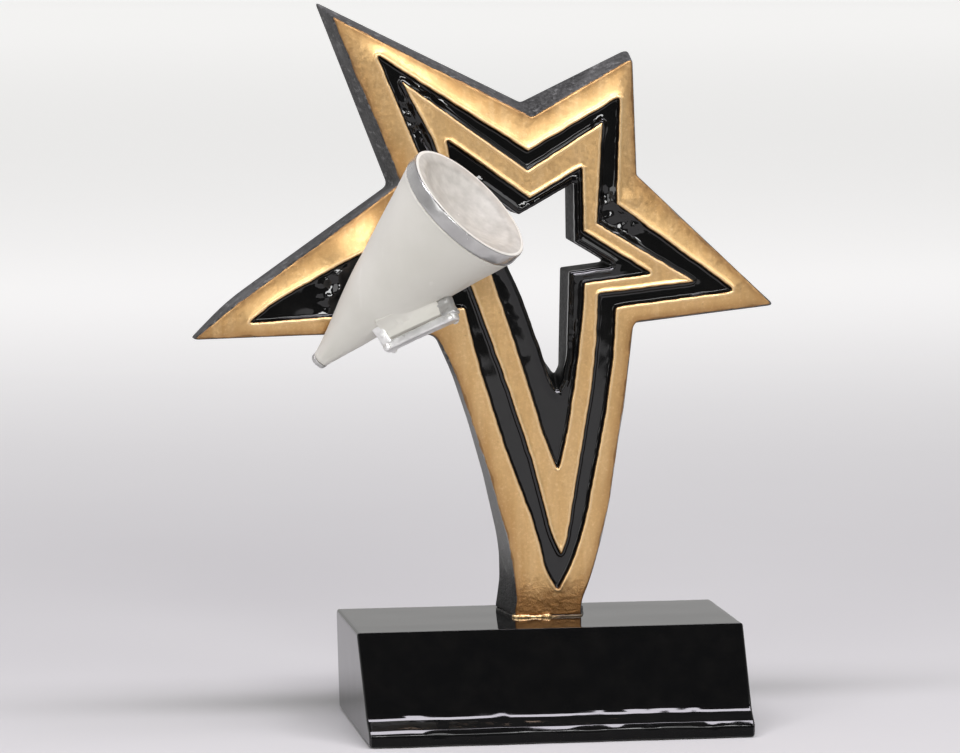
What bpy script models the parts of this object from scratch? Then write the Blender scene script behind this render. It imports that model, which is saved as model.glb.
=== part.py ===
# Star award: cast star on a stem, megaphone on its front, black plinth base.
# Frame: metres, +Z up, the front faces -Y, +X to the right seen from the front.
# Origin: centre of the underside, on the surface the award stands on.
import bpy
import bmesh
import math
import numpy as np
from mathutils import Vector, Matrix

MM = 0.001
GAP = 0.3 * MM                # clearance between neighbouring pieces

# ---------------------------------------------------------------- driving dimensions, mm
BASE_TOP_W = 89.2             # base width at the top
BASE_BOT_W = 87.9             # base width at the bottom
BASE_BACK_Y = 26.0            # flat back face
BASE_FRONT_Y = -26.0          # front of the lip
BASE_TOP_FRONT_Y = -10.0      # front edge of the top face
BASE_H = 23.6                 # height of the base
RIM_Z = 0.2                   # the block's rim stands this far over the felt's underside
FELT_INSET = 3.0
FELT_RECESS_Z = 1.0           # ceiling of the felt recess
FELT_T = 0.7

STAR_FRONT_Y = 5.7            # front plane of the gold frame
STAR_BACK_Y = 18.9            # back plane of the star
FLARE_BACK_Y = 22.1           # back of the flared foot
FOOT_Z = BASE_H + 0.3
RECESS_Y = 8.4                # floor of the two painted recesses
ENAMEL_FRONT_Y = 7.0
ENAMEL_BACK_Y = RECESS_Y - 0.3

STUD_X, STUD_Y, STUD_R = 2.0, 13.9, 2.0
STUD_Z0, STUD_Z1 = 2.4, 42.0
NUT_AF, NUT_H = 7.0, 3.1
WASHER_R, WASHER_T = 5.5, 1.0
POCKET_R, POCKET_TOP = 7.0, 8.0
DOWEL_R, DOWEL_DX = 1.25, 4.6
DOWEL_Z0, DOWEL_Z1 = 16.0, 31.0

# megaphone: axis from the mouthpiece (tip) to the centre of the mouth
TIP = Vector((-51.06, 5.46, 84.48))
MOUTH = Vector((-19.40, -14.45, 120.95))
TIP_R = 2.35
BELL_R = 15.9                 # cone radius where the band starts
BAND_R = 16.1
BAND_W = 3.4
DISC_R = 14.5
RING_W = 1.2
# handle: (along the axis from the tip, angle round the cone in degrees, height over its surface)
HANDLE_FEET = ((17.3, 218.0, 0.45), (32.3, 243.0, 0.45))
HANDLE_ENDS = ((16.2, 230.0, 4.55), (31.9, 236.0, 5.4))
STRAP = (3.0, 2.7)            # strap section: outward, across
FOOT_SIZE = ((2.9, 2.7), (3.7, 3.0))      # feet, front and rear: along the cone, across it
WEB_W = 2.1                   # wall of the cone's own resin that fills the space under the strap

# ---------------------------------------------------------------- outlines, mm (x, z, corner radius)
# each runs clockwise seen from the front, from the upper-left tip
FRAME_FRONT = [(-48.0, 162.4, 0.5), (-1.9, 139.1, 1.0), (21.5, 152.5, 1.0), (22.6, 125.4, 1.0),
               (54.9, 95.1, 0.7), (22.0, 91.6, 2.2), (19.8, 72.0, 0), (18.5, 64.4, 0), (16.5, 50.2, 0),
               (14.5, 41.2, 0), (12.9, 35.2, 0), (11.6, 31.2, 0), (10.0, 27.2, 0), (9.9, FOOT_Z, 0),
               (-5.8, FOOT_Z, 0), (-5.4, 27.5, 0), (-5.7, 31.0, 0), (-6.6, 37.5, 0), (-7.6, 42.0, 0),
               (-11.5, 55.9, 0), (-15.4, 67.8, 0), (-19.1, 79.2, 0), (-24.2, 89.4, 3.0), (-50.0, 89.8, 0),
               (-79.8, 89.1, 0.5), (-70.9, 96.4, 0), (-32.1, 124.2, 1.2)]
FRAME_BACK = [(-50.2, 165.0, 0.5), (-2.6, 141.7, 1.6), (23.0, 154.1, 1.6), (23.9, 124.9, 1.0),
              (57.6, 94.0, 0.7), (22.8, 90.1, 2.2), (20.1, 72.0, 0), (18.8, 64.4, 0), (16.8, 50.2, 0),
              (15.0, 41.2, 0), (13.6, 35.2, 0), (12.7, 31.2, 0), (12.1, 27.2, 0), (12.2, FOOT_Z, 0),
              (-7.8, FOOT_Z, 0), (-7.5, 27.5, 0), (-7.2, 31.0, 0), (-7.5, 37.5, 0), (-8.2, 42.0, 0),
              (-11.4, 55.9, 0), (-14.8, 67.8, 0), (-18.6, 79.2, 0), (-22.7, 88.3, 3.0), (-50.0, 88.7, 0),
              (-79.2, 88.3, 0.5), (-70.9, 96.7, 0), (-33.6, 123.0, 1.8)]
CHANNEL_OUT = [(-37.5, 153.3, 0), (-2.8, 131.2, 0), (18.4, 143.4, 0.5), (17.7, 118.9, 0), (45.8, 98.5, 0.8),
               (17.6, 95.2, 0.7), (17.2, 85.0, 0), (15.5, 71.6, 0), (12.2, 54.0, 0), (10.2, 43.9, 0),
               (7.6, 36.0, 0), (4.3, 29.8, 0.5), (1.5, 34.5, 0), (0.4, 39.9, 0), (-2.1, 47.9, 0),
               (-7.8, 62.8, 0), (-14.1, 82.5, 0), (-17.4, 95.6, 1.0), (-52.6, 93.7, 0), (-67.1, 92.8, 0),
               (-61.1, 97.4, 0), (-42.3, 107.9, 0), (-21.1, 115.6, 1.0), (-29.7, 135.0, 0)]
CHANNEL_IN = [(-32.5, 147.4, 0), (-2.8, 126.8, 0), (14.6, 137.7, 0), (13.4, 114.5, 0), (36.6, 100.7, 0),
              (13.7, 98.2, 0.7), (13.3, 87.4, 0), (12.4, 77.7, 0), (9.6, 60.6, 0), (6.4, 41.0, 0),
              (5.2, 37.7, 0), (2.9, 42.2, 0), (-1.6, 59.4, 0), (-7.9, 78.3, 0), (-12.0, 89.6, 0),
              (-16.3, 101.1, 0.7), (-43.4, 98.4, 0), (-19.7, 111.0, 0)]
LINING_OUT = [(-21.6, 134.0, 0), (-2.4, 120.3, 0), (9.8, 127.4, 0), (10.0, 112.7, 0), (26.1, 102.7, 0),
              (10.3, 100.8, 0.6), (9.8, 91.8, 0), (8.2, 78.7, 0), (6.2, 65.1, 0), (4.3, 57.7, 0),
              (1.2, 65.4, 0), (-4.5, 83.7, 0), (-8.6, 95.9, 0), (-11.6, 104.5, 0.6), (-30.1, 101.4, 0),
              (-16.9, 112.3, 0)]
OPENING = [(-14.8, 123.9, 0), (-4.6, 116.5, 0.5), (8.2, 123.8, 0.4), (8.4, 110.2, 0), (17.7, 104.6, 0.6),
           (7.1, 103.3, 0), (6.8, 84.4, 0), (5.2, 77.2, 0), (2.9, 76.0, 1.4), (0.6, 78.6, 0),
           (-1.7, 86.1, 0), (-4.8, 97.1, 0), (-7.7, 105.7, 0.4), (-19.0, 106.2, 0), (-11.6, 112.9, 0)]


# ---------------------------------------------------------------- helpers
def clear_scene():
    for ob in list(bpy.data.objects):
        bpy.data.objects.remove(ob, do_unlink=True)


def collection(name):
    col = bpy.data.collections.get(name) or bpy.data.collections.new(name)
    if col.name not in bpy.context.scene.collection.children:
        bpy.context.scene.collection.children.link(col)
    return col


def material(name, rgb, rough, metal=0.0):
    mat = bpy.data.materials.new(name)
    mat.use_nodes = True
    bsdf = mat.node_tree.nodes["Principled BSDF"]
    bsdf.inputs["Base Color"].default_value = (*rgb, 1.0)
    bsdf.inputs["Roughness"].default_value = rough
    bsdf.inputs["Metallic"].default_value = metal
    return mat


def cutter(ob):
    for c in list(ob.users_collection):
        c.objects.unlink(ob)
    CUTTERS.objects.link(ob)
    ob.hide_render = True
    ob.display_type = 'WIRE'
    return ob


def piece(ob, mat):
    for c in list(ob.users_collection):
        c.objects.unlink(ob)
    AWARD.objects.link(ob)
    ob.data.materials.clear()
    ob.data.materials.append(mat)
    return ob


def cut(ob, tool, operation='DIFFERENCE'):
    mod = ob.modifiers.new("cut_" + tool.name, 'BOOLEAN')
    mod.operation = operation
    mod.solver = 'EXACT'
    mod.object = tool
    return mod


def rounded(keys, seg=4):
    """Outline points in mm, with each corner that has a radius turned into a small arc."""
    out, n = [], len(keys)
    for i, (x, z, r) in enumerate(keys):
        p = np.array((x, z), float)
        if r <= 0:
            out.append(p)
            continue
        a = np.array(keys[i - 1][:2], float) - p
        b = np.array(keys[(i + 1) % n][:2], float) - p
        la, lb = np.linalg.norm(a), np.linalg.norm(b)
        a, b = a / la, b / lb
        half = math.acos(max(-1.0, min(1.0, float(a @ b)))) / 2
        d = min(r / math.tan(half), 0.4 * la, 0.4 * lb)
        for k in range(seg + 1):
            t = k / seg
            out.append((1 - t) ** 2 * (p + a * d) + 2 * t * (1 - t) * p + t ** 2 * (p + b * d))
    return out


def shifted(points, d):
    """Mitred offset of a clockwise outline: positive d grows it."""
    n, out = len(points), []
    for i in range(n):
        p, q, s = points[i - 1], points[i], points[(i + 1) % n]
        e1, e2 = q - p, s - q
        n1 = np.array((-e1[1], e1[0])) / np.linalg.norm(e1)
        n2 = np.array((-e2[1], e2[0])) / np.linalg.norm(e2)
        m = n1 + n2
        m = m / max(1e-6, float(m @ m)) * 2.0
        length = np.linalg.norm(m)
        if length > 2.5:
            m = m / length * 2.5
        out.append(q + m * d)
    return out


def plate(name, outlines, y0, y1):
    """Flat piece in the XZ plane, between two depths: a filled 2D curve, made a mesh."""
    cu = bpy.data.curves.new(name, 'CURVE')
    cu.dimensions = '2D'
    cu.fill_mode = 'BOTH'
    cu.extrude = (y1 - y0) / 2 * MM
    for pts in outlines:
        sp = cu.splines.new('POLY')
        sp.points.add(len(pts) - 1)
        for k, (x, z) in enumerate(pts):
            sp.points[k].co = (x * MM, z * MM, 0, 1)
        sp.use_cyclic_u = True
    ob = bpy.data.objects.new(name + "_curve", cu)
    bpy.context.scene.collection.objects.link(ob)
    ob.rotation_euler = (math.pi / 2, 0, 0)
    ob.location = (0, (y0 + y1) / 2 * MM, 0)
    return curve_to_mesh(ob, name)


def curve_to_mesh(ob, name):
    bpy.context.view_layer.update()
    dg = bpy.context.evaluated_depsgraph_get()
    me = bpy.data.meshes.new_from_object(ob.evaluated_get(dg))
    bm = bmesh.new()
    bm.from_mesh(me)
    bmesh.ops.remove_doubles(bm, verts=bm.verts, dist=1e-6)
    bmesh.ops.recalc_face_normals(bm, faces=bm.faces)
    bm.to_mesh(me)
    bm.free()
    me.name = name
    new = bpy.data.objects.new(name, me)
    new.matrix_world = ob.matrix_world.copy()
    bpy.context.scene.collection.objects.link(new)
    bpy.data.objects.remove(ob, do_unlink=True)
    return new


def loft(name, front, back, y0, y1):
    """Drafted slab between two unlike outlines with the same number of points."""
    bm = bmesh.new()
    f = [bm.verts.new((p[0] * MM, y0 * MM, p[1] * MM)) for p in front]
    b = [bm.verts.new((p[0] * MM, y1 * MM, p[1] * MM)) for p in back]
    bm.faces.new(f)
    bm.faces.new(list(reversed(b)))
    for i in range(len(f)):
        j = (i + 1) % len(f)
        bm.faces.new((f[j], f[i], b[i], b[j]))
    bmesh.ops.recalc_face_normals(bm, faces=bm.faces)
    return mesh_object(name, bm)


def mesh_object(name, bm):
    me = bpy.data.meshes.new(name)
    bm.to_mesh(me)
    bm.free()
    ob = bpy.data.objects.new(name, me)
    bpy.context.scene.collection.objects.link(ob)
    return ob


def cylinder(name, r, z0, z1, segments=32, at=(0, 0)):
    bm = bmesh.new()
    bmesh.ops.create_cone(bm, cap_ends=True, segments=segments, radius1=r * MM, radius2=r * MM,
                          depth=(z1 - z0) * MM)
    ob = mesh_object(name, bm)
    ob.location = (at[0] * MM, at[1] * MM, (z0 + z1) / 2 * MM)
    return ob


def box(name, size):
    bm = bmesh.new()
    bmesh.ops.create_cube(bm, size=1.0)
    bmesh.ops.scale(bm, vec=Vector(size) * MM, verts=bm.verts)
    return mesh_object(name, bm)


def bevel(ob, width, segments=2, angle=35):
    mod = ob.modifiers.new("edge_round", 'BEVEL')
    mod.width = width * MM
    mod.segments = segments
    mod.limit_method = 'ANGLE'
    mod.angle_limit = math.radians(angle)
    return mod


def turned(name, profile, steps=48):
    """Profile of (radius, height) in mm, top to bottom down its outer side, turned about Z."""
    bm = bmesh.new()
    vs = [bm.verts.new((r * MM, 0, z * MM)) for r, z in profile]
    closed = profile[0][0] > 0
    for i in range(len(vs) - 1):
        bm.edges.new((vs[i], vs[i + 1]))
    if closed:
        bm.edges.new((vs[-1], vs[0]))
    ob = mesh_object(name, bm)
    mod = ob.modifiers.new("turn", 'SCREW')
    mod.axis = 'Z'
    mod.angle = 2 * math.pi
    mod.steps = steps
    mod.render_steps = steps
    mod.use_merge_vertices = True
    mod.merge_threshold = 0.00005
    mod.use_smooth_shade = True
    return ob


def smooth(ob, deg=35):
    ob.data.shade_smooth()
    ob.data.set_sharp_from_angle(angle=math.radians(deg))


# ---------------------------------------------------------------- scene and materials
clear_scene()
AWARD = collection("star_trophy")
CUTTERS = collection("cutters")

GOLD = material("antique_gold_paint", (0.62, 0.40, 0.19), 0.36, 0.9)
BLACK = material("black_enamel", (0.006, 0.006, 0.006), 0.12)
LACQUER = material("black_lacquer", (0.008, 0.008, 0.008), 0.10)
FELT = material("green_black_felt", (0.015, 0.02, 0.017), 0.95)
WHITE = material("white_enamel", (0.74, 0.71, 0.64), 0.35)
SILVER = material("silver_paint", (0.62, 0.62, 0.60), 0.30, 0.9)
STEEL = material("zinc_plated_steel", (0.55, 0.56, 0.58), 0.35, 1.0)
GLUE = material("gold_glue_bead", (0.55, 0.34, 0.14), 0.30, 0.9)

root = bpy.data.objects.new("award_frame", None)
AWARD.objects.link(root)

# ---------------------------------------------------------------- base block
# side profile (y, z): upright back, flat top, sloping front face, cove and lip
cove = [(-22.9, 4.9), (-23.4, 4.2), (-24.2, 3.7), (-25.3, 3.4)]
profile = ([(BASE_BACK_Y, RIM_Z), (BASE_BACK_Y, BASE_H), (BASE_TOP_FRONT_Y, BASE_H)] + cove +
           [(BASE_FRONT_Y, 2.7), (BASE_FRONT_Y, RIM_Z)])
bm = bmesh.new()
left = [bm.verts.new((-0.5, y * MM, z * MM)) for y, z in profile]
right = [bm.verts.new((0.5, y * MM, z * MM)) for y, z in profile]
bm.faces.new(left)
bm.faces.new(list(reversed(right)))
for i in range(len(profile)):
    j = (i + 1) % len(profile)
    bm.faces.new((left[j], left[i], right[i], right[j]))
bmesh.ops.recalc_face_normals(bm, faces=bm.faces)
for v in bm.verts:                       # the block is a little narrower at the floor
    k = v.co.z / (BASE_H * MM)
    v.co.x *= (BASE_BOT_W + (BASE_TOP_W - BASE_BOT_W) * k) * MM
base = mesh_object("base_block", bm)
bevel(base, 0.6, 2, 40)
felt_cut = cutter(box("felt_recess", (BASE_BOT_W - 2 * FELT_INSET, 52.0 - 2 * FELT_INSET, 2 * (FELT_RECESS_Z + 1))))
felt_cut.location = (0, 0, -1.0 * MM)
cut(base, felt_cut)
cut(base, cutter(cylinder("nut_pocket", POCKET_R, -1.0, POCKET_TOP, 40, (STUD_X, STUD_Y))))
cut(base, cutter(cylinder("base_stud_hole", STUD_R + 0.3, -2.0, BASE_H + 2, 24, (STUD_X, STUD_Y))))
for side, name in ((-1, "left"), (1, "right")):
    at = (STUD_X + side * DOWEL_DX, STUD_Y)
    cut(base, cutter(cylinder("base_dowel_hole_" + name, DOWEL_R + 0.3, DOWEL_Z0 - 0.4, BASE_H + 2, 20, at)))
piece(base, LACQUER)

felt = box("felt_pad", (BASE_BOT_W - 2 * FELT_INSET - 0.8, 52.0 - 2 * FELT_INSET - 0.8, FELT_T))
felt.location = (0, 0, FELT_T / 2 * MM)
piece(felt, FELT)

# ---------------------------------------------------------------- star casting
star = loft("star_casting", rounded(FRAME_FRONT), rounded(FRAME_BACK), STAR_FRONT_Y, STAR_BACK_Y)
flare_side = [(STAR_BACK_Y - 3.0, FOOT_Z), (FLARE_BACK_Y, FOOT_Z), (21.2, 27.0), (20.2, 31.0),
              (19.4, 36.0), (STAR_BACK_Y - 0.4, 42.0), (STAR_BACK_Y - 3.0, 42.0)]
bm = bmesh.new()
lf = [bm.verts.new((-6.4 * MM, y * MM, z * MM)) for y, z in flare_side]
rt = [bm.verts.new((10.6 * MM, y * MM, z * MM)) for y, z in flare_side]
bm.faces.new(lf)
bm.faces.new(list(reversed(rt)))
for i in range(len(flare_side)):
    j = (i + 1) % len(flare_side)
    bm.faces.new((lf[j], lf[i], rt[i], rt[j]))
bmesh.ops.recalc_face_normals(bm, faces=bm.faces)
flare = cutter(mesh_object("foot_flare", bm))
cut(star, flare, 'UNION')
cut(star, cutter(plate("channel_recess", [rounded(CHANNEL_OUT)], STAR_FRONT_Y - 2, RECESS_Y)))
cut(star, cutter(plate("rib", [rounded(CHANNEL_IN)], STAR_FRONT_Y, RECESS_Y + 4)), 'UNION')
cut(star, cutter(plate("lining_recess", [rounded(LINING_OUT)], STAR_FRONT_Y - 2, RECESS_Y)))
cut(star, cutter(plate("opening_cut", [rounded(OPENING)], STAR_FRONT_Y - 3, STAR_BACK_Y + 3)))
cut(star, cutter(cylinder("star_stud_hole", STUD_R + 0.3, FOOT_Z - 3, STUD_Z1 + 0.4, 24, (STUD_X, STUD_Y))))
for side, name in ((-1, "left"), (1, "right")):
    at = (STUD_X + side * DOWEL_DX, STUD_Y)
    cut(star, cutter(cylinder("star_dowel_hole_" + name, DOWEL_R + 0.3, FOOT_Z - 3, DOWEL_Z1 + 0.4, 20, at)))

# gloss black fills in the two recesses
channel = plate("channel_enamel", [shifted(rounded(CHANNEL_OUT), -0.3), shifted(rounded(CHANNEL_IN), 0.3)],
                ENAMEL_FRONT_Y, ENAMEL_BACK_Y)
lining = plate("lining_enamel", [shifted(rounded(LINING_OUT), -0.3), rounded(OPENING)],
               ENAMEL_FRONT_Y, ENAMEL_BACK_Y)

# ---------------------------------------------------------------- fasteners between base and star
stud = cylinder("stem_stud", STUD_R, STUD_Z0, STUD_Z1, 24, (STUD_X, STUD_Y))
bevel(stud, 0.4, 1, 60)
piece(stud, STEEL)
washer = turned("stud_washer", [(STUD_R + 0.3, WASHER_T / 2), (WASHER_R, WASHER_T / 2),
                                (WASHER_R, -WASHER_T / 2), (STUD_R + 0.3, -WASHER_T / 2)], 36)
washer.location = (STUD_X * MM, STUD_Y * MM, 7.1 * MM)
piece(washer, STEEL)
nut = cylinder("stud_nut", NUT_AF / 2 / math.cos(math.pi / 6), 3.2, 3.2 + NUT_H, 6, (STUD_X, STUD_Y))
cut(nut, cutter(cylinder("nut_bore", STUD_R + 0.3, 2.0, 8.0, 24, (STUD_X, STUD_Y))))
piece(nut, STEEL)
for side, name in ((-1, "left"), (1, "right")):
    dowel = cylinder("foot_dowel_" + name, DOWEL_R, DOWEL_Z0, DOWEL_Z1, 20,
                     (STUD_X + side * DOWEL_DX, STUD_Y))
    bevel(dowel, 0.3, 1, 60)
    piece(dowel, STEEL)

# thin bead of glue squeezed out round the foot
foot = [np.array(p) for p in ((-5.8, -STAR_FRONT_Y), (9.9, -STAR_FRONT_Y), (12.2, -STAR_BACK_Y), (10.6, -FLARE_BACK_Y),
                              (-6.4, -FLARE_BACK_Y), (-7.8, -STAR_BACK_Y))]
foot = foot[::-1] if sum(a[0] * b[1] - b[0] * a[1] for a, b in zip(foot, foot[1:] + foot[:1])) > 0 else foot
bead = plate("foot_glue_bead", [shifted(foot, 1.1), shifted(foot, 0.3)], -0.35, 0.35)
bead.rotation_euler = (0, 0, 0)
bead.location = (0, 0, (BASE_H + 0.65) * MM)
bead.data.transform(Matrix.Diagonal((1, -1, 1, 1)))
bead.data.flip_normals()
piece(bead, GLUE)

# ---------------------------------------------------------------- megaphone
axis = (MOUTH - TIP).normalized()
LENGTH = (MOUTH - TIP).length
rear = (Vector((0, 1, 0)) - axis * axis.y).normalized()
across = axis.cross(rear)
CONE_FRAME = Matrix((rear, across, axis)).transposed().to_4x4()
CONE_FRAME.translation = TIP * MM
# the local frame of the cone: +Z along the axis from the tip to the mouth


def on_cone(ob):
    ob.matrix_world = CONE_FRAME @ ob.matrix_world
    return ob


def cone_r(s):
    return TIP_R + (BELL_R - TIP_R) * s / (LENGTH - BAND_W)


s0, s1 = RING_W + 0.3, LENGTH - BAND_W - 0.3
cone = turned("megaphone_cone", [(0, s1), (BELL_R - 0.5, s1), (BELL_R - 0.05, s1 - 0.4),
                                 (cone_r(s0), s0), (0, s0)])
band = turned("megaphone_rim_band", [(DISC_R + 0.3, LENGTH), (BAND_R - 0.5, LENGTH), (BAND_R - 0.1, LENGTH - 0.4),
                                     (BAND_R + 0.1, LENGTH - BAND_W + 0.4), (BAND_R - 0.2, LENGTH - BAND_W),
                                     (DISC_R + 0.3, LENGTH - BAND_W)])
dish = [(DISC_R * k / 8, LENGTH - 1.9 + 0.9 * (k / 8) ** 2) for k in range(9)]
disc = turned("megaphone_mouth_disc", dish + [(DISC_R, LENGTH - BAND_W + 0.05), (0, LENGTH - BAND_W + 0.05)])
ring = turned("megaphone_mouthpiece", [(1.3, RING_W), (TIP_R + 0.15, RING_W), (TIP_R + 0.15, 0.25), (TIP_R - 0.1, 0), (1.3, 0)], 32)
for ob, mat in ((cone, WHITE), (band, SILVER), (disc, WHITE), (ring, SILVER)):
    on_cone(ob)
    piece(ob, mat)

# handle: two leaning feet and a strap along the cone
slope = (BELL_R - TIP_R) / (LENGTH - BAND_W)


def radial(deg):
    t = math.radians(deg)
    return Vector((math.cos(t), math.sin(t), 0))


def over_cone(s, deg, out):
    return radial(deg) * (cone_r(s) + out) + Vector((0, 0, s))


ends = [over_cone(*e) for e in HANDLE_ENDS]
run = (ends[1] - ends[0]).normalized()
strap_out = radial((HANDLE_ENDS[0][1] + HANDLE_ENDS[1][1]) / 2)
strap_out = (strap_out - run * strap_out.dot(run)).normalized()
strap_side = run.cross(strap_out)
strap_len = (ends[1] - ends[0]).length


def placed(ob, origin, x_axis, y_axis, z_axis):
    m = Matrix((x_axis, y_axis, z_axis)).transposed().to_4x4()
    m.translation = origin * MM
    ob.matrix_world = CONE_FRAME @ m
    return ob


strap = box("handle_bar", (STRAP[0], STRAP[1], strap_len + 2.6))
placed(strap, (ends[0] + ends[1]) / 2, strap_out, strap_side, run)
bevel(strap, 0.6, 2, 40)
for end, name in zip(ends, ("front", "rear")):
    hole = cylinder("handle_hole_" + name, 0.75, -4, 4, 16)
    placed(hole, end, run, strap_out, strap_side)
    cut(strap, cutter(hole))
    rivet = turned("handle_rivet_" + name, [(0, 2.25), (0.7, 2.15), (1.05, 1.7), (0.45, 1.65), (0.45, -1.65),
                                            (1.05, -1.7), (0.7, -2.15), (0, -2.25)], 16)
    placed(rivet, end, run, strap_out, strap_side)
    piece(rivet, SILVER)
piece(strap, SILVER)

# the space under the strap is filled by a wall that grows out of the cone
inner = STRAP[0] / 2 + 0.3
web_low, web_high = [], []
for k, (foot, end) in enumerate(zip(HANDLE_FEET, ends)):
    step = (1 if k == 0 else -1) * (FOOT_SIZE[k][0] / 2 + 0.45)
    t = step / (HANDLE_FEET[1][0] - HANDLE_FEET[0][0])
    deg = foot[1] + t * (HANDLE_FEET[1][1] - HANDLE_FEET[0][1])
    web_low.append(over_cone(foot[0] + step, deg, -1.2))
    web_high.append(end + run * step - strap_out * inner)
bm = bmesh.new()
ring_low = [bm.verts.new((p + strap_side * w) * MM) for p, w in
            ((web_low[0], -WEB_W / 2), (web_low[0], WEB_W / 2), (web_low[1], WEB_W / 2), (web_low[1], -WEB_W / 2))]
ring_high = [bm.verts.new((p + strap_side * w) * MM) for p, w in
             ((web_high[0], -WEB_W / 2), (web_high[0], WEB_W / 2), (web_high[1], WEB_W / 2), (web_high[1], -WEB_W / 2))]
bm.faces.new(ring_low)
bm.faces.new(ring_high[::-1])
for i in range(4):
    j = (i + 1) % 4
    bm.faces.new((ring_low[j], ring_low[i], ring_high[i], ring_high[j]))
bmesh.ops.triangulate(bm, faces=bm.faces)
bmesh.ops.recalc_face_normals(bm, faces=bm.faces)
web = cutter(mesh_object("handle_web", bm))
web.matrix_world = CONE_FRAME.copy()
cut(cone, web, 'UNION')

for foot, end, size, name in zip(HANDLE_FEET, ends, FOOT_SIZE, ("front", "rear")):
    low = over_cone(*foot)
    high = end - strap_out * (STRAP[0] / 2 + 0.3)
    along = (radial(foot[1]) * slope + Vector((0, 0, 1))).normalized()
    around = Vector((0, 0, 1)).cross(radial(foot[1]))
    if around.dot(strap_side) < 0:
        around = -around
    # each end follows the face that it meets: the cone's surface below, the strap above
    bracket = box("handle_bracket_" + name, (size[0], size[1], 1.0))
    for v in bracket.data.vertices:
        x, y = v.co.x / MM, v.co.y / MM
        v.co = ((low + along * x + around * y) if v.co.z < 0 else (high + run * x + strap_side * y)) * MM
    bm = bmesh.new()
    bm.from_mesh(bracket.data)
    bmesh.ops.recalc_face_normals(bm, faces=bm.faces)
    bm.to_mesh(bracket.data)
    bm.free()
    bracket.matrix_world = CONE_FRAME.copy()
    bevel(bracket, 0.5, 2, 50)
    piece(bracket, SILVER)

# pins that hold the megaphone on the star's front
PINS = {"lower": ((-44.9, 91.6), 0.8, 1.9, 12.0), "upper": ((-26.6, 119.9), 1.5, -3.5, 12.0)}
for name, ((x, z), r, y0, y1) in PINS.items():
    for kind, radius, a, b in (("pin", r, y0, y1), ("hole", r + 0.3, y0 - 0.4, y1 + 0.4)):
        ob = cylinder("megaphone_%s_%s" % (kind, name), radius, a, b, 20)
        ob.matrix_world = Matrix.Translation((x * MM, (a + b) / 2 * MM, z * MM)) @ Matrix.Rotation(math.pi / 2, 4, 'X')
        if kind == "pin":
            piece(ob, STEEL)
        else:
            cutter(ob)
            cut(cone, ob)
            cut(star, ob)

# seat in the star's front where the cone beds into the lower frame
seat = turned("cone_seat", [(0, LENGTH), (BAND_R + 0.45, LENGTH), (BELL_R + 0.45, LENGTH - BAND_W),
                            (TIP_R + 0.7, 0), (0, -0.3)])
on_cone(seat)
cut(star, cutter(seat))
piece(star, GOLD)
piece(channel, BLACK)
piece(lining, BLACK)

bpy.context.view_layer.update()
for ob in list(AWARD.objects):
    if ob.type == 'MESH':
        smooth(ob, 35)
        keep = ob.matrix_world.copy()
        ob.parent = root
        ob.matrix_world = keep
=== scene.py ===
# Star trophy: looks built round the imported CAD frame. Metres, +Z up, front faces -Y.
import bpy
import bmesh
import math
import numpy as np
from mathutils import Vector, Matrix, noise
from mathutils.geometry import delaunay_2d_cdt

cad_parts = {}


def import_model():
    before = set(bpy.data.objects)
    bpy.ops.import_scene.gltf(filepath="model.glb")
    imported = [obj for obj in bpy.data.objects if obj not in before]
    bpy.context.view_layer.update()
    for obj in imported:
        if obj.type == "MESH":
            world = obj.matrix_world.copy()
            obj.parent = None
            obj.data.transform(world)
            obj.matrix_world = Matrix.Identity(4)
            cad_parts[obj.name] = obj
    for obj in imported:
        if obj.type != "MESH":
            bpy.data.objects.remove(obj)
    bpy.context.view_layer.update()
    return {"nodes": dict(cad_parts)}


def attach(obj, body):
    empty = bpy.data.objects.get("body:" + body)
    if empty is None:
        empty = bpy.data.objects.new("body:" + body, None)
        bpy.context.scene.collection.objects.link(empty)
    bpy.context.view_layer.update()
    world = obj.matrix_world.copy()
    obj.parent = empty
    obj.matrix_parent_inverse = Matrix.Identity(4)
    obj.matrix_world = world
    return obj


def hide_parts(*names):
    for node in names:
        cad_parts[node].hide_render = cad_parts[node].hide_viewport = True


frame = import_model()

MM = 0.001
SC = bpy.context.scene
SC.view_settings.view_transform = "Standard"

# ------------------------------------------------------------------ camera
cam = bpy.data.objects.new("photo_camera", bpy.data.cameras.new("photo_camera"))
SC.collection.objects.link(cam)
az, el = math.radians(9.29), math.radians(6.21)
look = Vector((math.sin(az) * math.cos(el), math.cos(az) * math.cos(el), -math.sin(el)))
cam.location = Vector((-182.80, -1026.887, 193.532)) * MM
cam.rotation_mode = "QUATERNION"
cam.rotation_quaternion = look.to_track_quat("-Z", "Y")
cam.data.sensor_width = 36.0
cam.data.lens = 172.5
cam.data.clip_start, cam.data.clip_end = 0.02, 30.0
SC.camera = cam

# ------------------------------------------------------------------ dimensions shared with the CAD, mm
BASE_TOP_W, BASE_BOT_W, BASE_H = 89.2, 87.9, 23.6
RIM_Z, FELT_INSET, FELT_RECESS_Z = 0.2, 3.0, 1.0
STAR_FRONT, STAR_BACK, FLOOR_Y = 5.7, 18.9, 8.4
FOOT_Z = BASE_H + 0.3
STUD_X, STUD_Y, STUD_R = 2.0, 13.9, 2.0
TIP = Vector((-51.06, 5.46, 84.48))
MOUTH = Vector((-19.40, -14.45, 120.95))
TIP_R, BELL_R, BAND_R, BAND_W, WEB_W = 2.35, 15.9, 16.1, 3.4, 2.1
HANDLE_FEET = ((17.3, 218.0, 0.45), (32.3, 243.0, 0.45))
HANDLE_ENDS = ((16.2, 230.0, 4.55), (31.9, 236.0, 5.4))

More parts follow.
